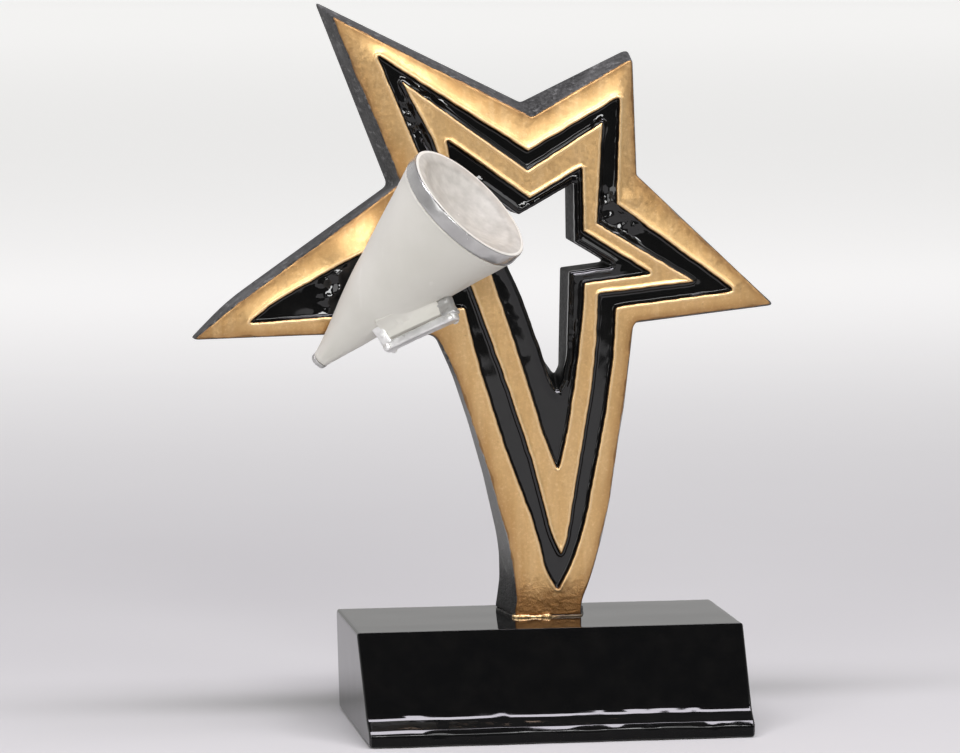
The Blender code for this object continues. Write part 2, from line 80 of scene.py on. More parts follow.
FRAME_FRONT = [(-48.0, 162.4, .5), (-1.9, 139.1, 1), (21.5, 152.5, 1), (22.6, 125.4, 1), (54.9, 95.1, .7),
               (22.0, 91.6, 2.2), (19.8, 72), (18.5, 64.4), (16.5, 50.2), (14.5, 41.2), (12.9, 35.2), (11.6, 31.2),
               (10.0, 27.2), (9.9, 23.9), (-5.8, 23.9), (-5.4, 27.5), (-5.7, 31), (-6.6, 37.5), (-7.6, 42),
               (-11.5, 55.9), (-15.4, 67.8), (-19.1, 79.2), (-24.2, 89.4, 3), (-50, 89.8), (-79.8, 89.1, .5),
               (-70.9, 96.4), (-32.1, 124.2, 1.2)]
FRAME_BACK = [(-50.2, 165.0, .5), (-2.6, 141.7, 1.6), (23.0, 154.1, 1.6), (23.9, 124.9, 1), (57.6, 94.0, .7),
              (22.8, 90.1, 2.2), (20.1, 72), (18.8, 64.4), (16.8, 50.2), (15.0, 41.2), (13.6, 35.2), (12.7, 31.2),
              (12.1, 27.2), (12.2, 23.9), (-7.8, 23.9), (-7.5, 27.5), (-7.2, 31), (-7.5, 37.5), (-8.2, 42),
              (-11.4, 55.9), (-14.8, 67.8), (-18.6, 79.2), (-22.7, 88.3, 3), (-50, 88.7), (-79.2, 88.3, .5),
              (-70.9, 96.7), (-33.6, 123.0, 1.8)]
CHANNEL_OUT = [(-37.5, 153.3), (-2.8, 131.2), (18.4, 143.4, .5), (17.7, 118.9), (45.8, 98.5, .8), (17.6, 95.2, .7),
               (17.2, 85), (15.5, 71.6), (12.2, 54), (10.2, 43.9), (7.6, 36), (4.3, 29.8, .5), (1.5, 34.5),
               (0.4, 39.9), (-2.1, 47.9), (-7.8, 62.8), (-14.1, 82.5), (-17.4, 95.6, 1), (-52.6, 93.7),
               (-67.1, 92.8), (-61.1, 97.4), (-42.3, 107.9), (-21.1, 115.6, 1), (-29.7, 135)]
CHANNEL_IN = [(-32.2, 147.7), (-2.8, 126.8), (14.6, 137.7), (13.4, 114.5), (36.6, 100.7), (13.7, 98.2, .7),
              (13.3, 87.4), (12.4, 77.7), (9.6, 60.6), (6.4, 41), (5.2, 37.7), (2.9, 42.2), (-1.6, 59.4),
              (-7.9, 78.3), (-12, 89.6), (-16.3, 101.1, .7), (-43.4, 98.4), (-19.9, 111), (-22.0, 126), (-24.6, 133.6, 2)]
LINING_OUT = [(-21.6, 134), (-2.4, 120.3), (9.8, 127.4), (10, 112.7), (26.1, 102.7), (10.3, 100.8, .6), (9.8, 91.8),
              (8.2, 78.7), (6.2, 65.1), (4.3, 57.7), (1.2, 65.4), (-4.5, 83.7), (-8.6, 95.9), (-11.6, 104.5, .6),
              (-30.1, 101.4), (-16.9, 112.3)]
OPENING = [(-14.8, 123.9), (-4.6, 116.5, .5), (8.2, 123.8, .4), (8.4, 110.2), (17.7, 104.6, .6), (7.1, 103.3),
           (6.7, 84.4), (5.7, 78.6, 2.4), (4.3, 75.7, 1.3), (2.5, 79.6, 2.4), (0.75, 84.9), (-1.6, 91.3), (-4.0, 97.9), (-7.6, 105.7, .4),
           (-19, 106.2), (-11.6, 112.9)]


# ------------------------------------------------------------------ outline tools
def prepared(keys, least=0.35, wide=60.0, turn=24.0):
    """Every key gets a corner radius: a small one on a corner, a wide one on a gentle bend."""
    out, n = [], len(keys)
    for i, k in enumerate(keys):
        p = np.array(k[:2], float)
        a, b = p - np.array(keys[i - 1][:2]), np.array(keys[(i + 1) % n][:2]) - p
        ang = math.degrees(math.acos(max(-1, min(1, a @ b / np.linalg.norm(a) / np.linalg.norm(b)))))
        r = k[2] if len(k) > 2 else (wide if ang < turn else least)
        out.append((p[0], p[1], r))
    return out


def inset_keys(keys, d):
    """Mitred inset of a clockwise outline given by its keys."""
    n, out = len(keys), []
    for i in range(n):
        p, q, s = (np.array(keys[j % n][:2], float) for j in (i - 1, i, i + 1))
        e1, e2 = (q - p) / np.linalg.norm(q - p), (s - q) / np.linalg.norm(s - q)
        m = np.array((-e1[1], e1[0])) + np.array((-e2[1], e2[0]))
        m = m / max(1e-6, float(m @ m)) * 2
        ln = np.linalg.norm(m)
        m = m / ln * min(ln, 2.6)
        q = q - m * d
        out.append((q[0], q[1], keys[i][2]))
    return out


def arcs(keys, counts=None, step=0.6):
    res, n = [], len(keys)
    for i, (x, z, r) in enumerate(keys):
        p = np.array((x, z), float)
        a, b = np.array(keys[i - 1][:2], float) - p, np.array(keys[(i + 1) % n][:2], float) - p
        la, lb = np.linalg.norm(a), np.linalg.norm(b)
        a, b = a / la, b / lb
        half = math.acos(max(-1.0, min(1.0, float(a @ b)))) / 2
        d = min(r / max(1e-6, math.tan(half)), 0.42 * la, 0.42 * lb)
        c = counts[i] if counts else max(4, int(round(2 * d / step)))
        t = np.linspace(0, 1, c + 1)[:, None]
        res.append((1 - t) ** 2 * (p + a * d) + 2 * t * (1 - t) * p + t ** 2 * (p + b * d))
    return res


def sampled(*sets, step=0.6):
    """Loops with the same number of points from outlines with the same keys."""
    first = arcs(sets[0], None, step)
    ac = [len(a) - 1 for a in first]
    n = len(first)
    sc = [max(1, int(round(np.linalg.norm(first[(i + 1) % n][0] - first[i][-1]) / step))) for i in range(n)]
    loops = []
    for keys in sets:
        ar, pts = arcs(keys, ac), []
        for i in range(n):
            pts.extend(ar[i])
            p, q = ar[i][-1], ar[(i + 1) % n][0]
            pts.extend(p + (q - p) * k / sc[i] for k in range(1, sc[i]))
        loops.append(np.array(pts))
    return loops


def nz(x, y, z, s):
    return noise.noise(Vector((x * s, y * s, z * s)))


def wobbled(loop, amount, scale, seed):
    """Hand-painted edge: a slow wobble along the outline's own normal."""
    nrm = normals2(loop)
    k = np.array([noise.noise(Vector((p[0] * scale, seed, p[1] * scale))) +
                  0.45 * noise.noise(Vector((p[0] * scale * 3.1, seed + 7, p[1] * scale * 3.1))) for p in loop])
    return loop + nrm * (k * amount)[:, None]


def normals2(loop):
    """Unit normals of a clockwise loop, pointing out of it."""
    e = np.roll(loop, -1, 0) - np.roll(loop, 1, 0)
    nrm = np.stack((-e[:, 1], e[:, 0]), 1)
    return nrm / np.maximum(1e-9, np.linalg.norm(nrm, axis=1))[:, None]


def kept_in(loop, outer, gap):
    """Holds one outline at least a gap inside another."""
    for _ in range(4):
        s = dist(loop, outer) * np.where(inside(loop, outer), 1.0, -1.0)
        loop = loop - normals2(loop) * np.maximum(0, gap - s)[:, None]
    return loop


def dist(pts, loop):
    a, b = loop, np.roll(loop, -1, 0)
    ab = b - a
    l2 = np.maximum(1e-12, (ab ** 2).sum(1))
    out = np.empty(len(pts))
    for i in range(0, len(pts), 1500):
        p = pts[i:i + 1500, None, :]
        t = np.clip(((p - a) * ab).sum(2) / l2, 0, 1)
        out[i:i + 1500] = np.sqrt(((a + t[..., None] * ab - p) ** 2).sum(2).min(1))
    return out


def inside(pts, loop):
    a, b = loop, np.roll(loop, -1, 0)
    out = np.zeros(len(pts), bool)
    for i in range(0, len(pts), 3000):
        x, z = pts[i:i + 3000, 0:1], pts[i:i + 3000, 1:2]
        cross = (a[:, 1] > z) != (b[:, 1] > z)
        with np.errstate(divide="ignore", invalid="ignore"):
            xx = a[:, 0] + (z - a[:, 1]) * (b[:, 0] - a[:, 0]) / (b[:, 1] - a[:, 1])
        out[i:i + 3000] = (np.where(cross, x < xx, False).sum(1) % 2) == 1
    return out


def steiner(outer, inner, rows_out, rows_in, grid=1.3):
    """Points inside a band between two outlines, in rows that follow each of them, and the edges along the rows."""
    got, edges, total = [], [], 0
    for loop, nrm, rows, own in ((outer, -normals2(outer), rows_out, 0), (inner, normals2(inner), rows_in, 1)):
        for d in rows:
            k = 1 if d < 1.0 else 2
            c = (loop + nrm * d)[::k]
            both = (dist(c, outer), dist(c, inner))
            mine, other = both[own], both[1 - own]
            ok = (mine > d * 0.93) & (mine < other - (0.06 if own == 0 else 0.14))
            ok &= inside(c, outer) & ~inside(c, inner)
            num = np.full(len(c), -1)
            num[ok] = total + np.arange(ok.sum())
            firm = ok & (mine < other - 0.3)
            for i in range(len(c)):
                j = (i + 1) % len(c)
                if firm[i] and firm[j]:
                    edges.append((int(num[i]), int(num[j])))
            got.append(c[ok])
            total += int(ok.sum())
    lo, hi = outer.min(0), outer.max(0)
    xs, zs = np.arange(lo[0], hi[0], grid), np.arange(lo[1], hi[1], grid * 0.87)
    g = np.array([(x + (j % 2) * grid / 2, z) for j, z in enumerate(zs) for x in xs])
    g = g[inside(g, outer) & ~inside(g, inner)]
    do, di = dist(g, outer), dist(g, inner)
    got.append(g[(do > max(rows_out) + 0.5) & (di > max(rows_in) + 0.5)])
    return np.concatenate(got), edges


def quarter(d, r):
    """How far a quarter round of radius 1 has dropped at distance d from its edge: 1 at the edge, 0 past r."""
    u = np.clip(1 - d / r, 0, 1)
    return 1 - np.sqrt(np.maximum(0, 1 - u * u))


def sstep(x, a, b):
    t = np.clip((x - a) / (b - a), 0, 1)
    return t * t * (3 - 2 * t)


def bell(x, w):
    return np.exp(-(x / w) ** 2)


# ------------------------------------------------------------------ mesh tools
class Build:
    """Collects vertices (mm), faces, face materials and point attributes."""

    def __init__(self):
        self.v, self.f, self.m, self.a = [], [], [], {}

    def add(self, pts, **attrs):
        i0 = len(self.v)
        pts = np.asarray(pts, float)
        self.v.extend(map(tuple, pts))
        for k, val in attrs.items():
            arr = self.a.setdefault(k, {})
            val = np.broadcast_to(np.asarray(val, float), (len(pts),))
            for j in range(len(pts)):
                arr[i0 + j] = float(val[j])
        return np.arange(i0, i0 + len(pts))

    def strip(self, a, b, mat=0, closed=True):
        n = len(a)
        for i in range(n if closed else n - 1):
            j = (i + 1) % n
            self.f.append((a[i], a[j], b[j], b[i]))
            self.m.append(mat)

    def sheet(self, loops, extra, shape, holes=(), mat=0, flip=False, edges=()):
        """A relief over the area inside loops[0] and outside the holes. shape(points) gives places and attributes.
        Returns the vertex numbers of each loop's points."""
        pts = np.concatenate([*loops, extra]) if len(extra) else np.concatenate(loops)
        cons, base = [], 0
        for lp in loops:
            n = len(lp)
            cons += [(base + i, base + (i + 1) % n) for i in range(n)]
            base += n
        cons += [(base + i, base + j) for i, j in edges]
        vs, _, faces, orig, _, _ = delaunay_2d_cdt([Vector(p) for p in pts], cons, [], 0, 1e-6)
        co = np.array([tuple(v) for v in vs])
        where, attrs = shape(co)
        ids = self.add(where, **attrs)
        at = {}
        for k, o in enumerate(orig):
            for i in o:
                at[i] = ids[k]
        tri = np.array([f for f in faces if len(f) == 3])
        cen = co[tri].mean(1)
        keep = inside(cen, np.asarray(loops[0]))
        for h in holes:
            keep &= ~inside(cen, np.asarray(h))
        for f in tri[keep]:
            q = [ids[k] for k in f]
            self.f.append(tuple(q[::-1] if flip else q))
            self.m.append(mat)
        out, base = [], 0
        for lp in loops:
            out.append(np.array([at[base + i] for i in range(len(lp))]))
            base += len(lp)
        return out

    def fill(self, loops, pts2, ids, holes=(), mat=0, flip=False):
        """Triangulates between vertices that are there already. pts2: 2-D points in the order of ids."""
        edges, base = [], 0
        for lp in loops:
            n = len(lp)
            edges += [(base + i, base + (i + 1) % n) for i in range(n)]
            base += n
        vs, _, faces, orig, _, _ = delaunay_2d_cdt([Vector(p) for p in pts2], edges, [], 0, 1e-6)
        back = [o[0] if o else -1 for o in orig]
        tri = np.array([f for f in faces if len(f) == 3])
        co = np.array([tuple(v) for v in vs])
        cen = co[tri].mean(1)
        keep = inside(cen, np.asarray(loops[0]))
        for h in holes:
            keep &= ~inside(cen, np.asarray(h))
        for f in tri[keep]:
            q = [ids[back[k]] for k in f]
            if len(set(q)) == 3 and min(back[k] for k in f) >= 0:
                self.f.append(tuple(q[::-1] if flip else q))
                self.m.append(mat)

    def object(self, name, mats, sharp=50, closed=True):
        me = bpy.data.meshes.new(name)
        me.from_pydata([(x * MM, y * MM, z * MM) for x, y, z in self.v], [], [tuple(map(int, f)) for f in self.f])
        for mt in mats:
            me.materials.append(mt)
        me.polygons.foreach_set("material_index", self.m)
        for k, vals in self.a.items():
            at = me.attributes.new(k, "FLOAT", "POINT")
            arr = np.zeros(len(self.v), np.float32)
            for i, val in vals.items():
                arr[i] = val
            at.data.foreach_set("value", arr)
        bm = bmesh.new()
        bm.from_mesh(me)
        if closed:
            doubled = [f for f in bm.faces if any(len(e.link_faces) == 1 for e in f.edges)
                       and any(len(e.link_faces) > 2 for e in f.edges)]
            if doubled:
                bmesh.ops.delete(bm, geom=doubled, context="FACES")
        bmesh.ops.recalc_face_normals(bm, faces=bm.faces)
        if closed:
            bad = sum(1 for e in bm.edges if len(e.link_faces) != 2)
            if bad:
                print("NOTE", name, "has", bad, "open edges")
        bm.to_mesh(me)
        bm.free()
        me.shade_smooth()
        me.set_sharp_from_angle(angle=math.radians(sharp))
        ob = bpy.data.objects.new(name, me)
        SC.collection.objects.link(ob)
        return ob


def finish_piece(ob, node):
    nodes = [node] if isinstance(node, str) else list(node)
    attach(ob, "root")
    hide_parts(*nodes)
    return ob


def applied(ob):
    """Applies an object's modifiers into its mesh."""
    bpy.context.view_layer.update()
    dg = bpy.context.evaluated_depsgraph_get()
    me = bpy.data.meshes.new_from_object(ob.evaluated_get(dg), preserve_all_data_layers=True, depsgraph=dg)
    ob.modifiers.clear()
    old = ob.data
    ob.data = me
    bpy.data.meshes.remove(old)
    return ob


# ------------------------------------------------------------------ material tools
class Mat:
    def __init__(self, name):
        self.m = bpy.data.materials.new(name)
        self.m.use_nodes = True
        self.t = self.m.node_tree
        self.t.nodes.clear()
        self.out = self.t.nodes.new("ShaderNodeOutputMaterial")
        self.b = self.t.nodes.new("ShaderNodeBsdfPrincipled")
        self.t.links.new(self.b.outputs[0], self.out.inputs[0])
        tc = self.t.nodes.new("ShaderNodeTexCoord")
        self.co = tc.outputs["Object"]

    def put(self, sock, val):
        if hasattr(val, "is_output") or isinstance(val, bpy.types.NodeSocket):
            self.t.links.new(val, sock)
        elif isinstance(val, (tuple, list)) and len(val) == 3 and sock.type == "RGBA":
            sock.default_value = (*val, 1.0)
        else:
            sock.default_value = val

    def set(self, **kw):
        for k, v in kw.items():
            self.put(self.b.inputs[k.replace("_", " ")], v)

    def scaled(self, sx, sy, sz, rot=(0, 0, 0)):
        n = self.t.nodes.new("ShaderNodeMapping")
        self.put(n.inputs["Vector"], self.co)
        n.inputs["Scale"].default_value = (sx, sy, sz)
        n.inputs["Rotation"].default_value = rot
        return n.outputs[0]

    def noise(self, scale, detail=4.0, rough=0.55, vec=None, distort=0.0):
        n = self.t.nodes.new("ShaderNodeTexNoise")
        self.put(n.inputs["Vector"], vec or self.co)
        n.inputs["Scale"].default_value = scale
        n.inputs["Detail"].default_value = detail
        n.inputs["Roughness"].default_value = rough
        n.inputs["Distortion"].default_value = distort
        return n.outputs[0]

    def voronoi(self, scale, feature="F1", vec=None, rnd=1.0):
        n = self.t.nodes.new("ShaderNodeTexVoronoi")
        n.feature = feature
        self.put(n.inputs["Vector"], vec or self.co)
        n.inputs["Scale"].default_value = scale
        n.inputs["Randomness"].default_value = rnd
        return n.outputs["Distance"]

    def attr(self, name):
        n = self.t.nodes.new("ShaderNodeAttribute")
        n.attribute_name = name
        return n.outputs["Fac"]

    def axis(self, which):
        n = self.t.nodes.new("ShaderNodeSeparateXYZ")
        self.put(n.inputs[0], self.co)
        return n.outputs["XYZ".index(which)]

    def math(self, op, a, b=0.0, c=None, clamp=False):
        n = self.t.nodes.new("ShaderNodeMath")
        n.operation = op
        n.use_clamp = clamp
        self.put(n.inputs[0], a)
        self.put(n.inputs[1], b)
        if c is not None:
            self.put(n.inputs[2], c)
        return n.outputs[0]

    def fit(self, v, a, b, lo=0.0, hi=1.0, smooth=True):
        n = self.t.nodes.new("ShaderNodeMapRange")
        if smooth:
            n.interpolation_type = "SMOOTHSTEP"
        self.put(n.inputs["Value"], v)
        n.inputs["From Min"].default_value = a
        n.inputs["From Max"].default_value = b
        n.inputs["To Min"].default_value = lo
        n.inputs["To Max"].default_value = hi
        return n.outputs[0]

    def mix(self, fac, a, b, kind="MIX"):
        n = self.t.nodes.new("ShaderNodeMix")
        n.data_type = "RGBA"
        n.blend_type = kind
        self.put(n.inputs[0], fac)
        self.put(n.inputs[6], a)
        self.put(n.inputs[7], b)
        return n.outputs[2]

    def lerp(self, fac, a, b):
        n = self.t.nodes.new("ShaderNodeMix")
        n.data_type = "FLOAT"
        self.put(n.inputs[0], fac)
        self.put(n.inputs[2], a)
        self.put(n.inputs[3], b)
        return n.outputs[0]

    def bump(self, height, distance, strength=1.0, normal=None):
        n = self.t.nodes.new("ShaderNodeBump")
        self.put(n.inputs["Height"], height)
        n.inputs["Distance"].default_value = distance
        n.inputs["Strength"].default_value = strength
        if normal is not None:
            self.put(n.inputs["Normal"], normal)
        return n.outputs[0]


def star_finish():
    """Antique gold paint on the front, speckled charcoal on the sides and back, with a hand-painted border."""
    m = Mat("star_gold_and_charcoal")
    # --- gold: tan near the outer edge, lighter towards the inner lip
    rim, d_in, across = m.attr("rim"), m.attr("d_in"), m.attr("across")
    cloud = m.noise(60, 3, 0.55)
    fine = m.noise(1100, 4, 0.6)
    streak = m.noise(420, 3, 0.55, m.scaled(1.0, 1.0, 0.10, (0, math.radians(24), 0)))
    streak2 = m.noise(520, 3, 0.6, m.scaled(1.0, 1.0, 0.16, (0, math.radians(-58), 0)), 0.6)
    grain = m.noise(1500, 3, 0.7)
    way = m.math("ADD", across, m.fit(cloud, 0.2, 0.8, -0.22, 0.22, False))
    gold = m.mix(m.fit(way, 0.15, 0.75), (0.575, 0.338, 0.132), (0.750, 0.482, 0.212))
    gold = m.mix(m.fit(streak, 0.40, 0.78, 0.0, 0.45), gold, (0.85, 0.60, 0.315))
    gold = m.mix(m.fit(streak2, 0.48, 0.80, 0.0, 0.28), gold, (0.50, 0.285, 0.12))
    gold = m.mix(m.fit(grain, 0.35, 0.70, 0.22, 0.0), gold, (0.44, 0.26, 0.115))
    gold = m.mix(m.fit(grain, 0.55, 0.75, 0.0, 0.25), gold, (0.95, 0.74, 0.48))
    soft = m.math("ADD", d_in, m.fit(m.noise(500, 3), 0.2, 0.8, -0.12, 0.12, False))
    # Painted highlight: a lighter band on the raised bead along each edge that meets the black.
    lip = m.math("MULTIPLY", m.fit(soft, 0.18, 0.40), m.fit(soft, 1.0, 0.5))
    gold = m.mix(m.math("MULTIPLY", lip, 0.55), gold, (0.92, 0.69, 0.405))
    gold = m.mix(m.fit(soft, 0.20, 0.04, 0.0, 0.95), gold, (0.060, 0.026, 0.010))
    outer = m.math("ADD", rim, m.fit(m.noise(170, 4), 0.2, 0.8, -0.55, 0.55, False))
    gold = m.mix(m.fit(outer, 1.75, 0.75, 0.0, 0.50), gold, (0.42, 0.235, 0.100))
    gold = m.mix(m.fit(outer, 0.70, 0.25, 0.0, 0.75), gold, (0.20, 0.105, 0.045))
    z = m.axis("Z")
    low = m.math("ADD", z, m.fit(m.noise(420, 5, 0.7), 0.2, 0.8, -0.0026, 0.0026, False))
    gold = m.mix(m.fit(low, 0.0350, 0.0268, 0.0, 0.88), gold, (0.200, 0.092, 0.030))
    pits = m.fit(m.voronoi(330), 0.09, 0.03)
    gold = m.mix(m.math("MULTIPLY", pits, 0.25), gold, (0.20, 0.10, 0.04))
    # --- charcoal
    grit = m.noise(1350, 3, 0.7, m.scaled(1.0, 0.42, 1.0))
    grit2 = m.noise(640, 3, 0.6, m.scaled(1.0, 0.45, 1.0))
    patch = m.noise(75, 4, 0.6)
    coal = m.mix(m.fit(grit, 0.32, 0.72), (0.010, 0.010, 0.010), (0.074, 0.074, 0.072))
    coal = m.mix(m.fit(grit2, 0.56, 0.72, 0.0, 0.60), coal, (0.24, 0.24, 0.235))
    coal = m.mix(m.fit(patch, 0.46, 0.78, 0.0, 0.40), coal, (0.20, 0.20, 0.197))
    worn = m.math("MULTIPLY", m.fit(m.attr("edge_back"), 0.1, 1.0), m.fit(m.noise(240, 4), 0.25, 0.6))
    coal = m.mix(m.math("MULTIPLY", worn, 0.80), coal, (0.36, 0.355, 0.345))
    stem = m.math("MULTIPLY", m.fit(z, 0.086, 0.070), m.fit(z, 0.030, 0.042))
    coal = m.mix(m.math("MULTIPLY", stem, 0.75), coal, (0.29, 0.29, 0.285))
    coal = m.mix(m.fit(low, 0.036, 0.027, 0.0, 0.7), coal, (0.010, 0.010, 0.010))
    # --- border between the two
    edge = m.math("ADD", rim, m.fit(m.noise(430, 4, 0.6), 0.2, 0.8, -0.20, 0.20, False))
    edge = m.math("ADD", edge, m.fit(m.noise(90, 3, 0.5), 0.2, 0.8, -0.22, 0.22, False))
    mask = m.fit(edge, 0.12, 0.30)
    m.set(Base_Color=m.mix(mask, coal, gold),
          Metallic=m.lerp(mask, 0.0, 0.92),
          Roughness=m.lerp(mask, m.fit(grit, 0.2, 0.8, 0.60, 0.85), m.fit(fine, 0.2, 0.85, 0.29, 0.43)))
    m.b.inputs["Specular IOR Level"].default_value = 0.45
    n1 = m.bump(streak, 0.00003, 0.4)
    n1 = m.bump(streak2, 0.00002, 0.35, n1)
    n2 = m.bump(fine, 0.000018, 0.4, n1)
    coarse = m.math("MULTIPLY", grit, m.fit(edge, 0.25, 0.05))
    n3 = m.bump(coarse, 0.00028, 0.9, n2)
    foot = m.math("MULTIPLY", m.noise(700, 5, 0.7), m.fit(z, 0.036, 0.028))
    m.set(Normal=m.bump(foot, 0.0005, 0.7, n3))
    return m.m


def black_gloss(name, peel=0.00001, specks=False, rough=(0.06, 0.12), level=0.42):
    m = Mat(name)
    base = m.mix(m.fit(m.noise(210, 5, 0.6), 0.35, 0.8), (0.0030, 0.0031, 0.0032), (0.0048, 0.0047, 0.0045))
    if specks:
        dust = m.fit(m.voronoi(105), 0.050, 0.024)
        few = m.fit(m.noise(160, 2), 0.60, 0.66)
        base = m.mix(m.math("MULTIPLY", dust, few), base, (0.16, 0.14, 0.12))
    scuff = m.noise(380, 6, 0.75, m.scaled(1, 1, 0.25, (0.3, 0.5, 0)))
    m.set(Base_Color=base, Roughness=m.fit(scuff, 0.45, 0.8, rough[0], rough[1]))
    m.b.inputs["IOR"].default_value = 1.5
    m.b.inputs["Specular IOR Level"].default_value = level
    n1 = m.bump(m.noise(150, 2, 0.45), peel, 0.5)
    m.set(Normal=m.bump(m.noise(1500, 3, 0.6), peel * 0.12, 0.6, n1))
    return m.m


def satin_wall():
    """Matt black paint on the walls of the opening, thin enough for the casting's texture to show."""
    m = Mat("opening_wall_paint")
    tex = m.noise(1300, 4, 0.65)
    base = m.mix(m.fit(tex, 0.35, 0.7), (0.004, 0.004, 0.004), (0.013, 0.013, 0.013))
    base = m.mix(m.fit(m.noise(260, 4, 0.6), 0.55, 0.75, 0.0, 0.5), base, (0.020, 0.020, 0.020))
    # Painted shade: the walls turn darker towards the bottom of the opening.
    base = m.mix(m.fit(m.axis("Z"), 0.0785, 0.0835, 1.0, 0.0), base, (0.002, 0.002, 0.002))
    m.set(Base_Color=base, Roughness=m.fit(tex, 0.3, 0.8, 0.48, 0.68))
    m.b.inputs["Specular IOR Level"].default_value = 0.14
    m.set(Normal=m.bump(tex, 0.00008, 0.6))
    return m.m


def white_satin():
    m = Mat("megaphone_white_enamel")
    base = m.mix(m.fit(m.noise(45, 4, 0.6), 0.3, 0.75), (0.635, 0.620, 0.560), (0.685, 0.670, 0.612))
    base = m.mix(m.fit(m.noise(420, 6, 0.7), 0.64, 0.82, 0.0, 0.30), base, (0.60, 0.57, 0.51))
    scr = m.noise(230, 2, 0.4, m.scaled(1, 1, 0.10, (0.35, 0.85, 0.2)))
    base = m.mix(m.fit(scr, 0.70, 0.76, 0.0, 0.25), base, (0.84, 0.82, 0.78))
    # Painted shade: the attribute darkens the crease between the web and the strap, the pit near the rear foot, the
    # web's upper half and the mouth's dish.
    crease = m.math("MULTIPLY", m.attr("crease"), m.fit(m.noise(380, 4), 0.2, 0.8, 0.75, 1.25, False))
    base = m.mix(m.fit(crease, 0.15, 1.0, 0.0, 0.85), base, (0.27, 0.255, 0.225))
    m.set(Base_Color=base, Roughness=m.fit(m.noise(300, 4), 0.3, 0.8, 0.40, 0.56))
    m.b.inputs["Specular IOR Level"].default_value = 0.35
    n1 = m.bump(m.noise(120, 3, 0.5), 0.00003, 0.4)
    m.set(Normal=m.bump(m.noise(1800, 3, 0.6), 0.000006, 0.5, n1))
    return m.m


def silver_paint(name="silver_paint_look", dim=1.0, rough=(0.34, 0.46), stain=0.45):
    m = Mat(name)
    a, c = (0.66, 0.655, 0.64), (0.90, 0.895, 0.875)
    base = m.mix(m.fit(m.noise(110, 4, 0.6), 0.3, 0.75), tuple(v * dim for v in a), tuple(v * dim for v in c))
    base = m.mix(m.fit(m.noise(480, 5, 0.7), 0.56, 0.72, 0.0, stain), base, (0.24, 0.23, 0.215))
    m.set(Base_Color=base, Metallic=0.68, Roughness=m.fit(m.noise(420, 4), 0.3, 0.8, rough[0], rough[1]))
    n1 = m.bump(m.noise(260, 4, 0.6), 0.00004, 0.5)
    m.set(Normal=m.bump(m.noise(1700, 3, 0.6), 0.000012, 0.5, n1))
    return m.m


def zinc():
    m = Mat("zinc_plated_steel_look")
    base = m.mix(m.fit(m.noise(240, 4, 0.6), 0.35, 0.7), (0.42, 0.43, 0.44), (0.60, 0.59, 0.55))
    base = m.mix(m.fit(m.noise(90, 5, 0.7), 0.58, 0.75, 0.0, 0.6), base, (0.50, 0.42, 0.27))
    m.set(Base_Color=base, Metallic=1.0, Roughness=m.fit(m.noise(700, 4), 0.3, 0.8, 0.28, 0.48))
    ring = m.noise(900, 2, 0.5, m.scaled(0.15, 0.15, 1.0))
    m.set(Normal=m.bump(ring, 0.00005, 0.5))
    return m.m


def felt_cloth():
    m = Mat("felt_fibres")
    fibre = m.noise(1500, 4, 0.7, m.scaled(1, 0.35, 1, (0, 0, 0.7)))
    fibre2 = m.noise(1500, 4, 0.7, m.scaled(0.35, 1, 1, (0, 0, 0.3)))
    both = m.math("MAXIMUM", fibre, fibre2)
    base = m.mix(m.fit(both, 0.45, 0.75), (0.006, 0.009, 0.008), (0.035, 0.045, 0.038))
    base = m.mix(m.fit(m.noise(5200, 2), 0.70, 0.80, 0.0, 0.5), base, (0.16, 0.16, 0.15))
    m.set(Base_Color=base, Roughness=m.fit(both, 0.3, 0.8, 0.85, 1.0))
    m.b.inputs["Sheen Weight"].default_value = 0.4
    m.b.inputs["Sheen Roughness"].default_value = 0.6
    m.set(Normal=m.bump(both, 0.0003, 0.9))
    return m.m


def glue_gold():
    """Gold paint on the bead at the front left, dark filler round the sides and back; at the front right the dark is
    painted shade standing in for a gap beside the foot.
    """
    m = Mat("gold_bead_look")
    x, y = m.axis("X"), m.axis("Y")
    ragged = m.fit(m.noise(330, 4, 0.65), 0.2, 0.8, -0.0012, 0.0012, False)
    front = m.fit(m.math("ADD", y, ragged), 0.0074, 0.0062)
    # Painted shade: towards the right the gold at the front gives way to the dark colour.
    left = m.fit(m.math("ADD", x, ragged), 0.0052, 0.0022, 0.18, 1.0)
    mask = m.math("MULTIPLY", front, left)
    bright = m.mix(m.fit(m.noise(480, 4, 0.6), 0.35, 0.7), (0.46, 0.26, 0.10), (0.92, 0.68, 0.38))
    dark = m.mix(m.fit(m.noise(900, 4, 0.65), 0.35, 0.7), (0.008, 0.0075, 0.007), (0.050, 0.046, 0.042))
    m.set(Base_Color=m.mix(mask, dark, bright), Metallic=m.math("MULTIPLY", mask, 0.9),
          Roughness=m.lerp(mask, 0.55, m.fit(m.noise(800, 3), 0.3, 0.8, 0.18, 0.34)))
    m.set(Normal=m.bump(m.noise(900, 4, 0.6), 0.0002, 0.6))
    return m.m


M_STAR = star_finish()
M_CHANNEL = black_gloss("channel_black_gloss", 0.000012, False, (0.05, 0.10), 0.55)
M_LINING = black_gloss("lining_black_gloss", 0.000012, False, (0.05, 0.10), 0.5)
M_WALL = satin_wall()
M_LACQUER = black_gloss("plinth_lacquer", 0.000004, True, (0.05, 0.10), 0.5)
M_LIP = black_gloss("plinth_lip_lacquer", 0.000004, True, (0.10, 0.20), 0.12)
M_BAND = silver_paint("silver_band_look", 0.66, (0.20, 0.28), 0.10)
M_TIP = silver_paint("silver_mouthpiece_look", 0.72, (0.40, 0.52), 0.4)
M_FOOT = silver_paint("silver_rear_foot_look", 0.74, (0.34, 0.46), 0.6)
M_WHITE, M_SILVER, M_ZINC, M_FELT, M_BEAD = white_satin(), silver_paint("silver_paint_look", 1.07, (0.32, 0.44), 0.38), zinc(), felt_cloth(), glue_gold()

